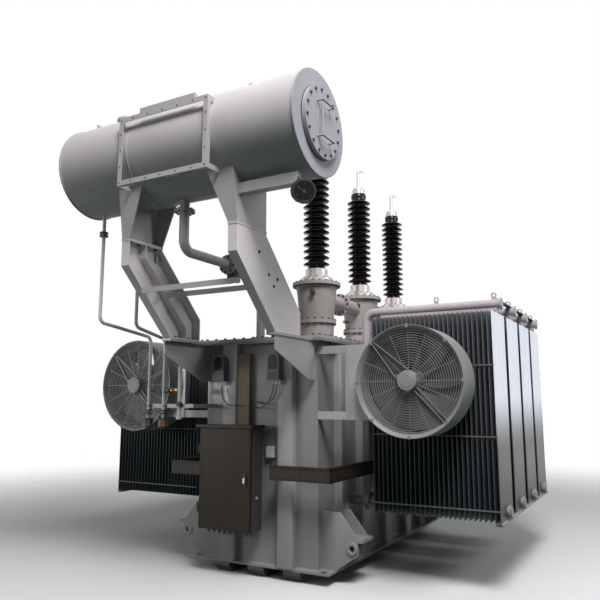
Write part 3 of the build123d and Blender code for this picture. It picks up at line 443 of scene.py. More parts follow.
# Tank: stiffeners with rounded edges, bolts round the cover, weld beads at the foot, holes in the base
# as black discs, painted shade
SIDE_Y = (-1.14, -0.63, 0.0, 0.63, 1.14)    # middles of the stiffeners on the long walls
END_X = (-0.33, 0.33)                       # and on the end walls
STIFFENER_DEPTH, STIFFENER_HALF, STIFFENER_ROUND = 0.08, 0.09, 0.024
BURIED = 0.04                   # how far a piece reaches into the wall it stands on
low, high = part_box("wall_stiffeners")
wall, edge = high.x - STIFFENER_DEPTH, high.y - STIFFENER_DEPTH
shape = Shape()
for side in (-1, 1):
    inner, outer = sorted((side * (wall - BURIED), side * high.x))
    for y in SIDE_Y:
        shape.prism(rounded(inner, outer, y - STIFFENER_HALF, y + STIFFENER_HALF, STIFFENER_ROUND),
                    "z", low.z, high.z)
    inner, outer = sorted((side * (edge - BURIED), side * high.y))
    for x in END_X:
        shape.prism(rounded(x - STIFFENER_HALF, x + STIFFENER_HALF, inner, outer, STIFFENER_ROUND),
                    "z", low.z, high.z)
make(shape, "stiffener_channels", "tank_paint", stands_for=["wall_stiffeners"], sharp=50)

low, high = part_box("tank_cover")
BOLT_INSET, RIM_FLANGE, COVER_BOLT = 0.036, 0.025, 0.015
shape = Shape()
for z, axis in ((high.z, UP), (low.z - RIM_FLANGE, DOWN)):
    for x in (low.x + BOLT_INSET, high.x - BOLT_INSET):
        row = spread(low.y + BOLT_INSET, high.y - BOLT_INSET, 29)
        shape.bolts([(x, y, z) for y in row], axis, COVER_BOLT)
    for y in (low.y + BOLT_INSET, high.y - BOLT_INSET):
        row = spread(low.x + 3 * BOLT_INSET, high.x - 3 * BOLT_INSET, 12)
        shape.bolts([(x, y, z) for x in row], axis, COVER_BOLT)
make(shape, "cover_bolts", "tank_paint", "shaded_bolt_paint")

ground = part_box("base_plate")[1].z
WELD, HOLE = 0.009, 0.028       # radii
shape = Shape()
for side in (-1, 1):
    shape.bar((-wall, side * edge, ground), (wall, side * edge, ground), WELD)
    shape.bar((side * wall, -edge, ground), (side * wall, edge, ground), WELD)
make(shape, "foot_welds", "tank_paint")
# Holes in the base: black discs on the plate, painted shade
shape = Shape()
for x in (-0.72, 0.72):
    for y in (-1.59, 1.59):
        shape.disc((x, y, ground), UP, HOLE, -0.004, 0.0012, 24, 0.0004)
make(shape, "base_hole_shade", "black_fitting")

# Jacking pads: a ring round each hauling eye
EYE_X, EYE_Y, EYE_Z = 0.954, 1.482, 0.329
shape = Shape()
for x in (-EYE_X, EYE_X):
    for side in (-1, 1):
        shape.lathe([(0.028, -0.004), (0.028, 0.013), (0.03, 0.015), (0.054, 0.015), (0.057, 0.012),
                     (0.057, -0.004)], (x, side * EYE_Y, EYE_Z), (0, side, 0), 40, closed=True)
make(shape, "eye_rings", "tank_paint", sharp=45)

# Legs: bolts of feet, joints and cross bars, and a lifting ring on each
LEG_FLANGES = (                 # x, first and last y, bolts, underside, top, size of the lower heads
    (0.592, -2.28, -1.93, 6, 2.245, 2.282, 0.017),      # foot
    (0.59, -2.88, -2.54, 4, 3.103, 3.127, 0.015),       # joint under the saddle
)
WEB_X, WEB_BOLTS = 0.635, ((-2.44, 2.755), (-2.30, 2.735), (-2.36, 2.665), (-2.60, 2.93))
RING_X = 0.60
shape, rings = Shape(), Shape()
for side in (-1, 1):
    for x, first, last, count, underside, top, size in LEG_FLANGES:
        for y in spread(first, last, count):
            shape.bolt((side * x, y, underside), DOWN, size)
            shape.bolt((side * x, y, top), UP, 0.015)
    for y, z in WEB_BOLTS:
        shape.bolt((side * WEB_X, y, z), (side, 0, 0), 0.011)
    rings.ring((side * RING_X, -2.475, 3.02), RIGHT, 0.026, 0.008, 28, 8)
    rings.box(side * RING_X - 0.006, side * RING_X + 0.006, -2.51, -2.485, 2.985, 3.05)
make(shape, "leg_bolts", "tank_paint", "shaded_bolt_paint")
make(rings, "leg_lifting_rings", "tank_paint")

# Conservator: end plates, manhole bolts, gasket and handle, vent bolts, frame bolts, weld seams
END_RIM = 0.008                 # how far an end plate stands out round the drum
drum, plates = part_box("conservator_drum"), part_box("conservator_ends")
axis_y, axis_z = (drum[0].y + drum[1].y) / 2, (drum[0].z + drum[1].z) / 2
drum_radius = (drum[1].z - drum[0].z) / 2
shape = Shape()
for side in (-1, 1):
    shape.disc((side * drum[1].x, axis_y, axis_z), (side, 0, 0), drum_radius + END_RIM, 0,
               plates[1].x - drum[1].x, 96, 0.003)
make(shape, "end_plates", "tank_paint", "shaded_end_paint", stands_for=["conservator_ends"])
MANHOLE_FACE, VENT_X, VENT_TOP = 1.315, -0.86, drum[1].z + 0.072
RIVET, RIVET_HEIGHT = 0.0085, 0.0015
shape = Shape()
shape.bolts(around((MANHOLE_FACE, axis_y, axis_z), RIGHT, 0.272, 16, 0.1), RIGHT, 0.011)
shape.bolts(around((VENT_X, axis_y, VENT_TOP), UP, 0.078, 6), UP, 0.009)
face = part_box("drum_frame")[0].y
for x in (-0.467, 0.467):
    shape.discs([(x, face, z) for z in (3.556, 3.70, 3.85, 4.0, 4.13)], FRONT, RIVET, RIVET_HEIGHT)
for z in (3.552, 4.132):
    shape.discs([(x, face, z) for x in spread(-0.33, 0.33, 5)], FRONT, RIVET, RIVET_HEIGHT)
make(shape, "conservator_bolts", "tank_paint", "shaded_bolt_paint")
shape = Shape()
shape.lathe([(0.295, 1.2765), (0.3045, 1.2765), (0.3045, 1.2815), (0.295, 1.2815)],
            (0, axis_y, axis_z), RIGHT, 72, closed=True)
make(shape, "manhole_gasket", "black_fitting")
SEAM_IN, SEAM_WIRE = 0.004, 0.004
shape = Shape()
for x in (drum[0].x + SEAM_IN, -0.42, 0.43, drum[1].x - SEAM_IN):
    shape.ring((x, axis_y, axis_z), RIGHT, drum_radius, SEAM_WIRE, 96)
make(shape, "drum_seams", "tank_paint", "drum_paint")
handle_x, handle_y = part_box("manhole_cover")[1].x - 0.012, axis_y - 0.09
shape = Shape()
shape.bar((handle_x, handle_y, axis_z - 0.15), (handle_x, handle_y, axis_z + 0.15), 0.008, 12)
make(shape, "handle_link", "tank_paint", "shaded_end_paint")

# Level gauge: a rimmed dark head with a hub and pointer, on a neck from its arm
facing = Vector((0.62, -0.72, -0.38)).normalized()
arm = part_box("gauge_arm")
neck = Vector((arm[1].x - 0.01, (arm[0].y + arm[1].y) / 2, (arm[0].z + arm[1].z) / 2))
centre = Vector((1.232, -2.90, 3.28))
RIB_CIRCLE, RIB_HALF = 0.094, 0.03          # radius of the ribs' circle, and half a rib's length
head, dial, marks = Shape(), Shape(), Shape()
head.lathe([(0.0, 0.0365), (0.074, 0.0365), (0.078, 0.042), (0.09, 0.042), (0.095, 0.036),
            (0.095, -0.03), (0.084, -0.036), (0.07, -0.075), (0, -0.075)], centre, facing, 48)
for rib in around(centre, facing, RIB_CIRCLE, 12):
    head.bar(rib - facing * RIB_HALF, rib + facing * RIB_HALF, 0.005, 6)
head.bar(neck, centre - facing * 0.04, 0.04, 24)
make(head, "gauge_head", "gauge_case", "gauge_head", stands_for=["level_gauge"], sharp=40)
dial.disc(centre, facing, 0.073, 0.0366, 0.0375, 40, 0.0002)
make(dial, "gauge_dial", "gauge_case", "dark_glass")
hub = centre + facing * 0.039
sweep = list(around((0, 0, 0), facing, 1.0, 12))
marks.disc(hub, facing, 0.01, 0, 0.004, 16, 0.001)
marks.bar(hub - sweep[2] * 0.02, hub + sweep[2] * 0.058, 0.0024, 6)
for k in (0, 2, 4, 6, 8):
    marks.bar(hub + sweep[k] * 0.054, hub + sweep[k] * 0.068, 0.0018, 5)
make(marks, "gauge_pointer", "gauge_case", "tie_steel")

# Gas relay: cast body with windows and a dome, a terminal box and plugs under it, and flange bolts
low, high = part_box("gas_relay")
x, y = (low.x + high.x) / 2, (low.y + high.y) / 2
level = low.z + (high.x - low.x) / 2        # middle of the pipe through it
lid = level + 0.085
END_FLANGE, PIPE_FLANGE, WINDOW_X = 0.022, 0.024, 0.083
shape, dark = Shape(), Shape()
shape.box(low.x + 0.012, high.x - 0.012, low.y + 0.02, high.y - 0.02, low.z + 0.01, lid, 0.016)
for end in (low.y, high.y - END_FLANGE):
    shape.disc((x, end, level), BACK, 0.093, 0, END_FLANGE, 40, 0.003)
shape.lathe([(0.05, 0), (0.05, 0.03), (0.046, 0.055), (0.034, 0.075), (0.016, 0.086), (0, 0.088)],
            (x, y, lid), UP, 36)
shape.disc((x, y, lid - 0.002), UP, 0.072, 0, 0.016, 36)
make(shape, "relay_body", "relay_casting", stands_for=["gas_relay"], sharp=40)
for side in (-1, 1):
    window = (x + side * WINDOW_X, y, level)
    dark.disc(window, (side, 0, 0), 0.048, 0, 0.011, 32)
    dark.bolts(around(window, (side, 0, 0), 0.062, 8), (side, 0, 0), 0.006)
dark.bolts(around((x, y, lid + 0.014), UP, 0.06, 8), UP, 0.006)
for end, way in ((low.y - PIPE_FLANGE, -1), (high.y + PIPE_FLANGE, 1)):
    dark.bolts(around((x, end, level), BACK, 0.08, 8, 0.2), (0, way, 0), 0.009)
dark.box(x - 0.045, x + 0.055, y - 0.05, y + 0.03, low.z - 0.055, low.z + 0.012, 0.006)
dark.bar((x + 0.02, y + 0.05, low.z - 0.07), (x + 0.02, y + 0.05, low.z + 0.02), 0.016, 16)
dark.bar((x - 0.03, y - 0.02, low.z - 0.085), (x - 0.03, y - 0.02, low.z - 0.05), 0.012, 16)
make(dark, "relay_fittings", "black_fitting")

# Pipework: bolts on the flanges of the drum's outlet, the oil pipe's foot and the turret links
OIL_PIPE_X, OUTLET_Z, OUTLET_HALF, SEAT = -0.1, 3.365, 0.012, 0.0003
LINKS_Y, LINK_Z, LINK_HALF, PIPE_BOLT = (-0.565, 0.56), 2.75, 0.024, 0.01
shape = Shape()
for z, axis in ((OUTLET_Z + OUTLET_HALF - SEAT, UP), (OUTLET_Z - OUTLET_HALF, DOWN)):
    shape.bolts(around((OIL_PIPE_X, axis_y, z), UP, 0.078, 8), axis, PIPE_BOLT)
shape.bolts(around((OIL_PIPE_X, -1.43, 2.324), UP, 0.078, 8), UP, PIPE_BOLT)
for middle in LINKS_Y:
    for way in (-1, 1):
        shape.bolts(around((BUSHING_X, middle + way * LINK_HALF, LINK_Z), BACK, 0.106, 12), (0, way, 0),
                    PIPE_BOLT)
make(shape, "pipe_bolts", "tank_paint", "shaded_bolt_paint")

# Breathers: jars of beads between a cap and an oil cup, pipe unions, a sampling valve and pipe clips
PIPES_X, PIPE_Y, DRAIN_X = (-1.115, -0.916), -1.98, -0.71
JAR, JAR_LOW, JAR_MIDDLE, JAR_HIGH = 0.05, 0.018, 0.046, 0.082
CAPS = ((0, 0.010, 0.034), (0.010, 0.02, 0.054), (0.08, 0.092, 0.058), (0.092, 0.1, 0.03))  # z, z, radius
UNIONS = ((PIPES_X[0], -2.70, 3.28), (PIPES_X[1], -2.42, 3.3),
          (PIPES_X[0], PIPE_Y, 1.56), (PIPES_X[1], PIPE_Y, 1.56))
HANGER_Z, VALVE_Y, VALVE_Z = 1.62, PIPE_Y + 0.005, 1.78
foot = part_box("breathers")[0].z
glass, spent, dark, brass, casting, clips = [Shape() for _ in range(6)]
for x, upper in zip(PIPES_X, (spent, glass)):
    for beads, z0, z1 in ((glass, JAR_LOW, JAR_MIDDLE), (upper, JAR_MIDDLE, JAR_HIGH)):
        beads.disc((x, PIPE_Y, foot), UP, JAR, z0, z1, 36, 0.003)
    for z0, z1, radius in CAPS:
        dark.disc((x, PIPE_Y, foot), UP, radius, z0, z1, 32)
    for place in around((x, PIPE_Y, foot), UP, 0.053, 3, 0.5):
        dark.bar(place + Vector((0, 0, 0.014)), place + Vector((0, 0, 0.086)), 0.003, 6)
make(glass, "breather_jars", "breather_glass", stands_for=["breathers"], sharp=40)
make(spent, "breather_top", "breather_glass", "breather_blue", sharp=40)
for x, y, z in UNIONS:
    for rise in (-0.024, 0.006):
        dark.disc((x, y, z + rise), UP, 0.042, 0, 0.018, 28)
for rise in (0, 0.024):
    dark.disc((DRAIN_X, PIPE_Y, HANGER_Z + rise), UP, 0.034, 0, 0.018, 24)
make(dark, "breather_fittings", "black_fitting")
brass.bar((-0.86, VALVE_Y, VALVE_Z), (-0.727, VALVE_Y, VALVE_Z), 0.012, 14)
brass.disc((-0.80, VALVE_Y, VALVE_Z), RIGHT, 0.022, -0.02, 0.0, 6)
brass.disc((-0.75, VALVE_Y, VALVE_Z), RIGHT, 0.02, -0.012, 0.012, 6)
brass.bar((-0.80, PIPE_Y, VALVE_Z), (-0.80, PIPE_Y - 0.055, VALVE_Z + 0.02), 0.007, 10)
make(brass, "sampling_valve", "tank_paint", "brass")
casting.bar((-0.899, VALVE_Y, VALVE_Z), (-0.84, VALVE_Y, VALVE_Z), 0.03, 24)
make(casting, "sampling_valve_body", "gauge_case")
for x in (*PIPES_X, DRAIN_X):
    clips.ring((x, PIPE_Y, HANGER_Z), UP, 0.021, 0.004, 28, 6)
    clips.bolt((x + 0.026, PIPE_Y + 0.0165, HANGER_Z), FRONT, 0.006)
make(clips, "pipe_clips", "tank_paint", "shaded_bolt_paint")

# Terminals: a clamp collar on each cap and a bent tip on each rod
COLLAR_Z, ROD_TOP = 4.272, 4.49
shape = Shape()
for y in BUSHING_Y:
    shape.lathe([(0.03, 0), (0.062, 0), (0.058, 0.022), (0.034, 0.03), (0.03, 0.03)],
                (BUSHING_X, y, COLLAR_Z), UP, 32, closed=True)
    shape.bolts(around((BUSHING_X, y, COLLAR_Z + 0.002), UP, 0.067, 6), UP, 0.006)
    bend = (BUSHING_X + 0.055, y - 0.012, 4.512)
    shape.bar((BUSHING_X, y, ROD_TOP), bend, 0.006, 8)
    shape.bar(bend, (BUSHING_X + 0.085, y - 0.02, 4.47), 0.0055, 8)
make(shape, "terminal_clamps", "bright_metal")

# Turret trim: a vent plug and a test tap on each turret
plugs, taps = Shape(), Shape()
for y in BUSHING_Y:
    plug = Vector((BUSHING_X - 0.10, y - 0.175, 2.60))
    plugs.bar(plug, plug + Vector((-0.02, -0.045, 0)), 0.018, 6)
    tap = Vector((BUSHING_X + 0.06, y - 0.19, 2.78))
    taps.bar(tap, tap + Vector((0.014, -0.05, 0)), 0.026, 20)
make(plugs, "turret_plugs", "tank_paint", "brass")
make(taps, "turret_taps", "black_fitting")

# Fan rotors: eight broad swept blades on a hub, in place of the plain rotors
BLADES, BLADE_SPAN, BLADE_SWEEP = 8, 50, 22         # span and sweep in degrees round the hub
BLADE_ROOT, BLADE_TIP, BLADE_HALF = 0.095, 0.434, 0.002      # radii, and half a blade's thickness
RADII, STEPS = spread(BLADE_ROOT, BLADE_TIP, 8), spread(-0.5, 0.5, 7)
for where in ("left", "right"):
    low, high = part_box(f"fan_rotor_{where}")
    middle = (low + high) / 2
    depth = (high.y - low.y) / 2 - 2 * BLADE_HALF
    shape = Shape()
    shape.lathe([(0, 0), (0.09, 0), (0.105, 0.012), (0.105, high.y - low.y), (0, high.y - low.y)],
                (middle.x, low.y, middle.z), BACK, 40)
    for blade in range(BLADES):
        points, faces = [], []
        for face in (-1, 1):
            for r in RADII:
                lead = 360 * blade / BLADES + BLADE_SWEEP * (r - BLADE_ROOT) / (BLADE_TIP - BLADE_ROOT)
                for step in STEPS:
                    turn = math.radians(lead + BLADE_SPAN * step)
                    points.append((middle.x + r * math.cos(turn),
                                   middle.y + 2 * step * depth + face * BLADE_HALF,
                                   middle.z + r * math.sin(turn)))
        rows, columns = len(RADII), len(STEPS)
        for start in (0, rows * columns):
            for corner in (start + i * columns + j for i in range(rows - 1) for j in range(columns - 1)):
                faces.append([corner, corner + 1, corner + columns + 1, corner + columns])
        border = list(range(columns)) + [i * columns + columns - 1 for i in range(1, rows)]
        border += [(rows - 1) * columns + j for j in reversed(range(columns - 1))]
        border += [i * columns for i in reversed(range(1, rows - 1))]
        for k, first in enumerate(border):
            second = border[(k + 1) % len(border)]
            faces.append([first, second, second + rows * columns, first + rows * columns])
        shape.add(points, faces)
    make(shape, f"rotor_blades_{where}", "rotor_alloy", body=f"fan_rotor_{where}",
         stands_for=[f"fan_rotor_{where}"])

# Fan guards across the rims, rim tabs, paired motor arms, motors and their lugs
RINGS, SPOKES, TABS = 17, 16, 8
GUARD_INNER, GUARD_OUTER, MOUTH, RIM = 0.098, 0.45, 0.466, 0.488    # radii
RIM_FRONT, GUARD_Y, ARM_Y, MOTOR_FRONT = -1.684, -1.648, -1.664, -1.715
ARMS = ((134, 0.07, 0.012), (313, 0.02, 0.016))     # degrees from the right, half width at hub and at rim
ARM_ROOT, ARM_LENGTH = 0.06, 0.41
# The left fan's wires and arms are paler than the right fan's: painted light, as it lies in the drum's
# shadow
FAN_LOOKS = {"left": ("lit_fan_wire", "lit_fan_wire"), "right": ("guard_wire", "tie_steel")}     # wires, arms
motors = Shape()
for where, (wire_look, arm_look) in FAN_LOOKS.items():
    low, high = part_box(f"fan_guard_{where}")
    x, z = (low.x + high.x) / 2, (low.z + high.z) / 2
    centre = Vector((x, GUARD_Y, z))
    wires, arms, trim = Shape(), Shape(), Shape()
    for radius in spread(GUARD_INNER, GUARD_OUTER, RINGS):
        wires.ring(centre, BACK, radius, 0.003, 72)
    behind = centre + Vector((0, 0.004, 0))
    for mouth, hub in zip(around(behind, FRONT, MOUTH, SPOKES),
                          around(behind, FRONT, GUARD_INNER - 0.015, SPOKES)):
        wires.bar(hub, mouth, 0.0035, 6)
    make(wires, f"guard_wires_{where}", "fan_paint", wire_look, stands_for=[f"fan_guard_{where}"])
    for angle, hub_half, rim_half in ARMS:
        out = Vector((math.cos(math.radians(angle)), 0, math.sin(math.radians(angle))))
        across = Vector((-out.z, 0, out.x))
        root = Vector((x, ARM_Y, z)) + out * ARM_ROOT
        for way in (-1, 1):
            arms.bar(root + across * way * hub_half, root + out * ARM_LENGTH + across * way * rim_half,
                     0.007, 10)
    make(arms, f"fan_arms_{where}", "fan_paint", arm_look)
    for place in around(centre, FRONT, RIM, TABS):
        trim.box(place.x - 0.012, place.x + 0.012, RIM_FRONT, RIM_FRONT + 0.014,
                 place.z - 0.016, place.z + 0.016)
    for place in around((x, MOTOR_FRONT + 0.03, z), FRONT, 0.088, 3, 1.1):
        trim.box(place.x - 0.014, place.x + 0.014, MOTOR_FRONT + 0.012, MOTOR_FRONT + 0.05,
                 place.z - 0.014, place.z + 0.014, 0.003)
    make(trim, f"fan_trim_{where}", "fan_paint")
    motors.lathe([(0, 0), (0.06, 0), (0.064, 0.003), (0.082, 0.003), (0.09, 0.012), (0.09, 0.2),
                  (0.014, 0.2), (0.014, 0.2055), (0, 0.2055)], (x, MOTOR_FRONT, z), BACK, 48)
make(motors, "motor_cases", "fan_paint", stands_for=["fan_motors"], sharp=30)

# Radiator panels: pressed sheets with welded seams; the outermost of each row is bright, a painted
# reflection
PANELS, PITCH, HALF = 27, 0.045, 0.006      # panels in a row, and half a panel's thickness
ROWS, ROW_PITCH, PANEL_WIDTH = 4, 0.63, 0.52
PIPE_IN = 0.275                 # from a bank's front to the middle of its first header pipe
NECK = {"left": 0.0, "right": 0.045}        # height of the necks over the panels
FLUTES, FLUTE_DEPTH, SEAM_HALF, SEAM_WIDTH = 14, 0.0022, 0.0022, 0.014
for side, where in ((-1, "left"), (1, "right")):
    low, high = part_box(f"radiator_bank_{where}")
    near = low.x if side > 0 else high.x
    top = high.z - NECK[where]
    fins, ends = Shape(), Shape()
    for row in range(ROWS):
        y0 = low.y + row * (high.y - low.y - PANEL_WIDTH) / (ROWS - 1)
        y1 = y0 + PANEL_WIDTH
        pipe_y = low.y + PIPE_IN + row * ROW_PITCH
        ripple = [(y, FLUTE_DEPTH if k % 2 else 0.0)
                  for k, y in enumerate(spread(y0 + SEAM_WIDTH, y1 - SEAM_WIDTH, FLUTES + 1))]
        for i in range(PANELS):
            x = near + side * (i * PITCH + HALF)
            outline = [(x - SEAM_HALF, y0), (x + SEAM_HALF, y0)]
            outline += [(x + HALF - dip, y) for y, dip in ripple]
            outline += [(x + SEAM_HALF, y1), (x - SEAM_HALF, y1)]
            outline += [(x - HALF + dip, y) for y, dip in reversed(ripple)]
            panel = ends if i == PANELS - 1 else fins
            panel.prism(outline, "z", low.z, top)
            if NECK[where]:
                fins.box(x - 0.004, x + 0.004, pipe_y - 0.03, pipe_y + 0.03, top - 0.01, high.z, 0.001)
    # Inner panels in the darker copy, painted shade; the outermost in the bright painted reflection
    make(fins, f"radiator_fins_{where}", "radiator_steel", "shaded_radiator_fin",
         stands_for=[f"radiator_bank_{where}"], sharp=50)
    make(ends, f"radiator_ends_{where}", "radiator_steel", sharp=12)

# Headers: weld rings over the panels, end caps and flanges with bolts; on the right also lifting eyes,
# a strip under each upper pipe with dark dashes between the panels, painted shade of the gaps between
# the necks, and a bar along the feet of the outermost panels
LOWER_Z, LEFT_UPPER_Z, FLANGE_X, EYES_X = 0.685, 2.04, 0.924, (1.655, 2.215)
FOOT_LOW, FOOT_HIGH = 0.596, 0.624
shape, bolts, gap_shade = Shape(), Shape(), Shape()
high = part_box("radiator_headers_right")[1]
upper = high.z - 0.045
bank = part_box("radiator_bank_right")
(near, front), (far, back) = bank[0].xy, bank[1].xy
strip_low, strip_high = bank[1].z - NECK["right"], bank[1].z + 0.006
for row in range(ROWS):
    y = front + PIPE_IN + row * ROW_PITCH
    for i in range(PANELS):
        shape.ring((near + i * PITCH + HALF, y, upper), RIGHT, 0.0455, 0.0022, 24, 4)
    for side, levels in ((1, (LOWER_Z, upper)), (-1, (LOWER_Z, LEFT_UPPER_Z))):
        end = side * (high.x - 0.02)
        for z in levels:
            shape.disc((end, y, z), (side, 0, 0), 0.06, -0.004, 0.014, 36)
            bolts.bolts(around((end + side * 0.014, y, z), (side, 0, 0), 0.05, 6), (side, 0, 0), 0.005)
            if z != upper:
                bolts.bolts(around((side * FLANGE_X, y, z), RIGHT, 0.068, 8), (side, 0, 0), 0.008)
    for x in EYES_X:
        shape.box(x - 0.022, x + 0.022, y - 0.006, y + 0.006, upper + 0.04, upper + 0.075, 0.003)
        shape.ring((x, y, upper + 0.088), BACK, 0.02, 0.007, 24, 8)
    shape.box(near, far, y - 0.034, y + 0.034, strip_low, strip_high, 0.003)
    # Dark dashes between the panels: painted shade of the gaps between the necks that the strip covers
    for i in range(PANELS - 1):
        x = near + (i + 0.5) * PITCH + HALF
        gap_shade.box(x - 0.012, x + 0.012, y - 0.0355, y - 0.03, strip_low + 0.012, strip_low + 0.022, 0.001)
shape.box(far - 0.015, far + 0.012, front, back, FOOT_LOW, FOOT_HIGH, 0.006)
make(shape, "header_trim", "header_paint")
make(gap_shade, "header_gap_shade", "header_paint", "shaded_bolt_paint")
make(bolts, "header_bolts", "header_paint", "shaded_bolt_paint")

# Thermometer boxes: cases with arched tops, dark windows, a blank plate and cable glands
low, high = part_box("thermometers")
CASE_HALF, CASE_LOW, WINDOW_HALF, WINDOW_LOW = 0.074, low.z + 0.04, 0.054, 1.972
GLAND_Y, GLANDS = -1.705, (-0.02, 0.02, 0.055)      # glands of a case, from its middle
face = low.y + 0.004
case, glass, trim, plate, glands = [Shape() for _ in range(5)]
for x in (-0.41, 0.25):
    case.prism(arched(x, CASE_HALF, CASE_LOW, high.z), "y", face + 0.006, high.y)
    case.prism(arched(x, CASE_HALF - 0.005, CASE_LOW + 0.005, high.z - 0.005), "y", face, face + 0.008)
    trim.prism(arched(x, WINDOW_HALF + 0.009, WINDOW_LOW - 0.009, high.z - 0.009), "y",
               face - 0.002, face + 0.004)
    glass.prism(arched(x, WINDOW_HALF, WINDOW_LOW, high.z - 0.018), "y", face - 0.003, face + 0.004)
    plate.box(x - 0.05, x + 0.05, face - 0.002, face + 0.002, CASE_LOW + 0.018, WINDOW_LOW - 0.018, 0.0008)
    for dx in GLANDS:
        glands.bar((x + dx, GLAND_Y, low.z + 0.002), (x + dx, GLAND_Y, CASE_LOW + 0.002), 0.011, 14)
make(case, "thermometer_cases", "gauge_case", stands_for=["thermometers"], sharp=40)
make(trim, "thermometer_rims", "gauge_case", "guard_wire")
make(glass, "thermometer_windows", "gauge_case", "dark_glass")
make(plate, "thermometer_plates", "gauge_case", "plate_paint")
make(glands, "thermometer_glands", "gauge_case", "pale_fitting")

# Cabinet: cable glands under it, an earth bolt, the latch with its handle, and the door's folded edges
CABINET_Y = -1.75               # middle of the cabinet
low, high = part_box("control_cabinet")
shape, bright = Shape(), Shape()
for x in spread(low.x + 0.05, high.x - 0.05, 9):
    shape.disc((x, CABINET_Y, low.z - 0.034), UP, 0.018, 0, 0.034, 6)
    shape.disc((x, CABINET_Y, low.z - 0.052), UP, 0.012, 0, 0.02, 16)
make(shape, "cabinet_glands", "black_fitting")
bright.bolt((high.x, CABINET_Y, 0.75), RIGHT, 0.014)
make(bright, "cabinet_earth_bolt", "bright_metal")
low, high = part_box("cabinet_latch")
x = (low.x + high.x) / 2
shape, bright = Shape(), Shape()
shape.box(x - 0.014, x + 0.014, high.y - 0.012, high.y, low.z, high.z, 0.004)
make(shape, "latch_base", "black_fitting", body="cabinet_door", stands_for=["cabinet_latch"])
middle = (low.z + high.z) / 2
bright.box(x - 0.012, x + 0.012, low.y, low.y + 0.01, middle - 0.03, middle + 0.02, 0.004)
bright.bar((x, high.y - 0.01, middle), (x, low.y + 0.006, middle), 0.01, 16)
make(bright, "latch_handle", "black_fitting", "bright_metal", body="cabinet_door")
low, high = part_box("cabinet_door")
FOLD, FOLD_HALF = 0.012, 0.002
x0, x1, z0, z1 = -0.52, 0.07, low.z + 0.01, high.z - 0.01
shape = Shape()
for xs, zs in (((x0, x1), (z0, z0 + FOLD)), ((x0, x1), (z1 - FOLD, z1)),
               ((x0, x0 + FOLD), (z0, z1)), ((x1 - FOLD, x1), (z0, z1))):
    shape.box(*xs, low.y - FOLD_HALF, low.y + FOLD_HALF, *zs, 0.001)
make(shape, "door_fold", "stainless", body="cabinet_door")

# Trunking: upright slots as thin black strips, painted shade, and a lid edge, straps on the riser, a small
# junction box
FRONT_RUNS = ((0.29, 0.89), (-0.89, -0.55))         # x, right and left of the cabinet
SLOT_HALF, SLOT_PITCH, SIDE_SLOTS = 0.004, 0.024, 110
low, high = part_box("cable_trays")
slot_low, slot_high = low.z + 0.02, high.z - 0.03
# The slots are thin black strips on the trays' faces: painted shade of their openings
slot_shade, lids = Shape(), Shape()
for x0, x1 in FRONT_RUNS:
    for x in spread(x0, x1, int((x1 - x0) / SLOT_PITCH)):
        slot_shade.box(x - SLOT_HALF, x + SLOT_HALF, low.y - 0.0008, low.y + 0.002, slot_low, slot_high, 0.0004)
    lids.box(x0 - 0.02, x1 + 0.016, low.y - 0.003, low.y + 0.03, high.z - 0.014, high.z + 0.002, 0.001)
for side in (-1, 1):
    for y in spread(low.y + 0.03, high.y - 0.03, SIDE_SLOTS):
        slot_shade.box(side * high.x - 0.001, side * high.x + 0.001, y - SLOT_HALF, y + SLOT_HALF,
                  slot_low, slot_high, 0.0004)
make(slot_shade, "tray_slot_shade", "black_fitting")
make(lids, "tray_lids", "stainless", "tray_steel")
low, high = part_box("cable_riser")
shape = Shape()
for z in spread(low.z + 0.08, high.z - 0.08, 4):
    shape.box(low.x - 0.003, high.x + 0.003, low.y - 0.003, high.y, z - 0.012, z + 0.012, 0.001)
make(shape, "riser_straps", "stainless", "riser_sheet")
shape = Shape()
shape.box(0.10, 0.19, -1.63, -1.575, 1.12, 1.23, 0.006)
make(shape, "junction_box", "tank_paint", "pale_fitting")

# Cable box: bolts of the cover on its far face
INSET, HEAD, HEAD_HEIGHT = 0.03, 0.014, 0.003
low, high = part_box("cable_box")
shape = Shape()
for z in (low.z + INSET, high.z - INSET):
    row = spread(low.x + INSET, high.x - INSET, 11)
    shape.discs([(x, high.y, z) for x in row], BACK, HEAD, HEAD_HEIGHT)
for x in (low.x + INSET, high.x - INSET):
    column = spread(low.z + 0.1, high.z - 0.1, 8)
    shape.discs([(x, high.y, z) for z in column], BACK, HEAD, HEAD_HEIGHT)
make(shape, "cable_box_bolts", "tank_paint", "shaded_bolt_paint")

# Camera at the photograph's place
camera = bpy.data.objects.new("camera", bpy.data.cameras.new("camera"))
bpy.context.scene.collection.objects.link(camera)
camera.location = (3.56, -7.08, 1.67)
camera.rotation_euler = (math.radians(98.95), 0, math.radians(29.4))
camera.data.sensor_width = 36.0
camera.data.lens = 38.46
bpy.context.scene.camera = camera


def seen_colour(tree, link, bounced, seen_as):
    """One colour for what the camera, mirrors and glass see, another for the light that bounces."""
    rays = tree.new("ShaderNodeLightPath").outputs
    seen = rays["Is Camera Ray"]
    for kind in ("Is Glossy Ray", "Is Transmission Ray"):
        either = tree.new("ShaderNodeMath")
        either.operation = "MAXIMUM"
        link(seen, either.inputs[0])
        link(rays[kind], either.inputs[1])
        seen = either.outputs[0]
    return mixed(tree, link, seen, bounced, seen_as)


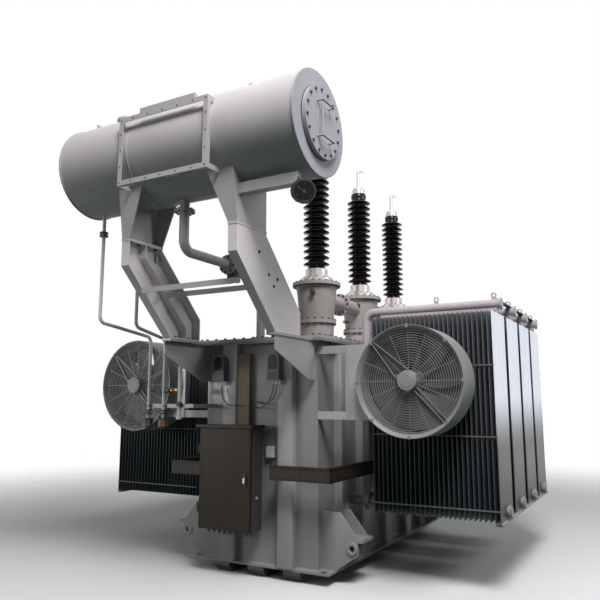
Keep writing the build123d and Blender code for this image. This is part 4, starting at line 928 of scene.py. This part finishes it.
# Plain pale floor that fades into the background, and soft studio light
FLOOR_RADIUS, FADE_FROM, FADE_TO = 14.0, 4.0, 12.0
FLOOR_BOUNCED, FLOOR_SEEN = (0.03, 0.07, 0.045), (0.86, 0.86, 0.86)
ROOM_BOUNCED, ROOM_SEEN = (0.032, 0.039, 0.039), (1, 1, 1)
floor_mesh = bpy.data.meshes.new("floor")
work = bmesh.new()
bmesh.ops.create_circle(work, cap_ends=True, segments=96, radius=FLOOR_RADIUS)
work.to_mesh(floor_mesh)
work.free()
floor = bpy.data.objects.new("floor", floor_mesh)
bpy.context.scene.collection.objects.link(floor)
material = bpy.data.materials.new("floor")
material.use_nodes = True
tree, link = material.node_tree.nodes, material.node_tree.links.new
shader = tree["Principled BSDF"]
shader.inputs["Roughness"].default_value = 0.7
link(seen_colour(tree, link, FLOOR_BOUNCED, FLOOR_SEEN), shader.inputs["Base Color"])
distance = tree.new("ShaderNodeVectorMath")
distance.operation = "LENGTH"
link(tree.new("ShaderNodeTexCoord").outputs["Object"], distance.inputs[0])
clear = tree.new("ShaderNodeBsdfTransparent")
border = tree.new("ShaderNodeMixShader")
link(remap(tree, link, distance.outputs["Value"], (FADE_FROM, FADE_TO), smooth=True), border.inputs["Fac"])
link(shader.outputs["BSDF"], border.inputs[1])
link(clear.outputs["BSDF"], border.inputs[2])
link(border.outputs["Shader"], tree["Material Output"].inputs["Surface"])
floor_mesh.materials.append(material)

world = bpy.data.worlds.new("studio")
bpy.context.scene.world = world
world.use_nodes = True
tree, link = world.node_tree.nodes, world.node_tree.links.new
link(seen_colour(tree, link, ROOM_BOUNCED, ROOM_SEEN), tree["Background"].inputs["Color"])

LAMPS = [                       # name, place, aim, width, length, watts, spread in degrees, colour
    ("key", (4.4, -5.9, 9.5), (0.5, -1.2, 1.5), 3.5, 3.5, 1000, 180, (1.0, 0.965, 0.965)),
    ("overhead", (-1.0, -1.8, 10.0), (0.0, -1.5, 0.0), 6.0, 6.0, 60, 180, (1.0, 0.965, 0.975)),
    ("right", (9.0, 1.2, 6.5), (0.8, -1.6, 2.6), 2.0, 3.0, 210, 180, (0.95, 0.955, 1.0)),
    ("front", (-5.5, -6.8, 2.4), (-1.6, -1.6, 2.0), 2.0, 1.5, 11, 48, (1.0, 0.99, 0.97)),
    ("fill", (-3.0, -9.0, 5.0), (0.0, -2.0, 2.6), 4.0, 3.0, 32, 180, (0.97, 0.985, 1.0)),
]
for name, spot, aim, width, length, watts, spread_angle, colour in LAMPS:
    lamp = bpy.data.objects.new(name, bpy.data.lights.new(name, "AREA"))
    bpy.context.scene.collection.objects.link(lamp)
    lamp.data.shape = "RECTANGLE"
    lamp.data.size, lamp.data.size_y = width, length
    lamp.data.energy = watts
    lamp.data.spread = math.radians(spread_angle)
    lamp.data.color = colour
    lamp.location = spot
    lamp.rotation_euler = (Vector(aim) - Vector(spot)).to_track_quat("-Z", "Y").to_euler()

bpy.context.scene.view_settings.view_transform = "Standard"

bpy.context.view_layer.update()
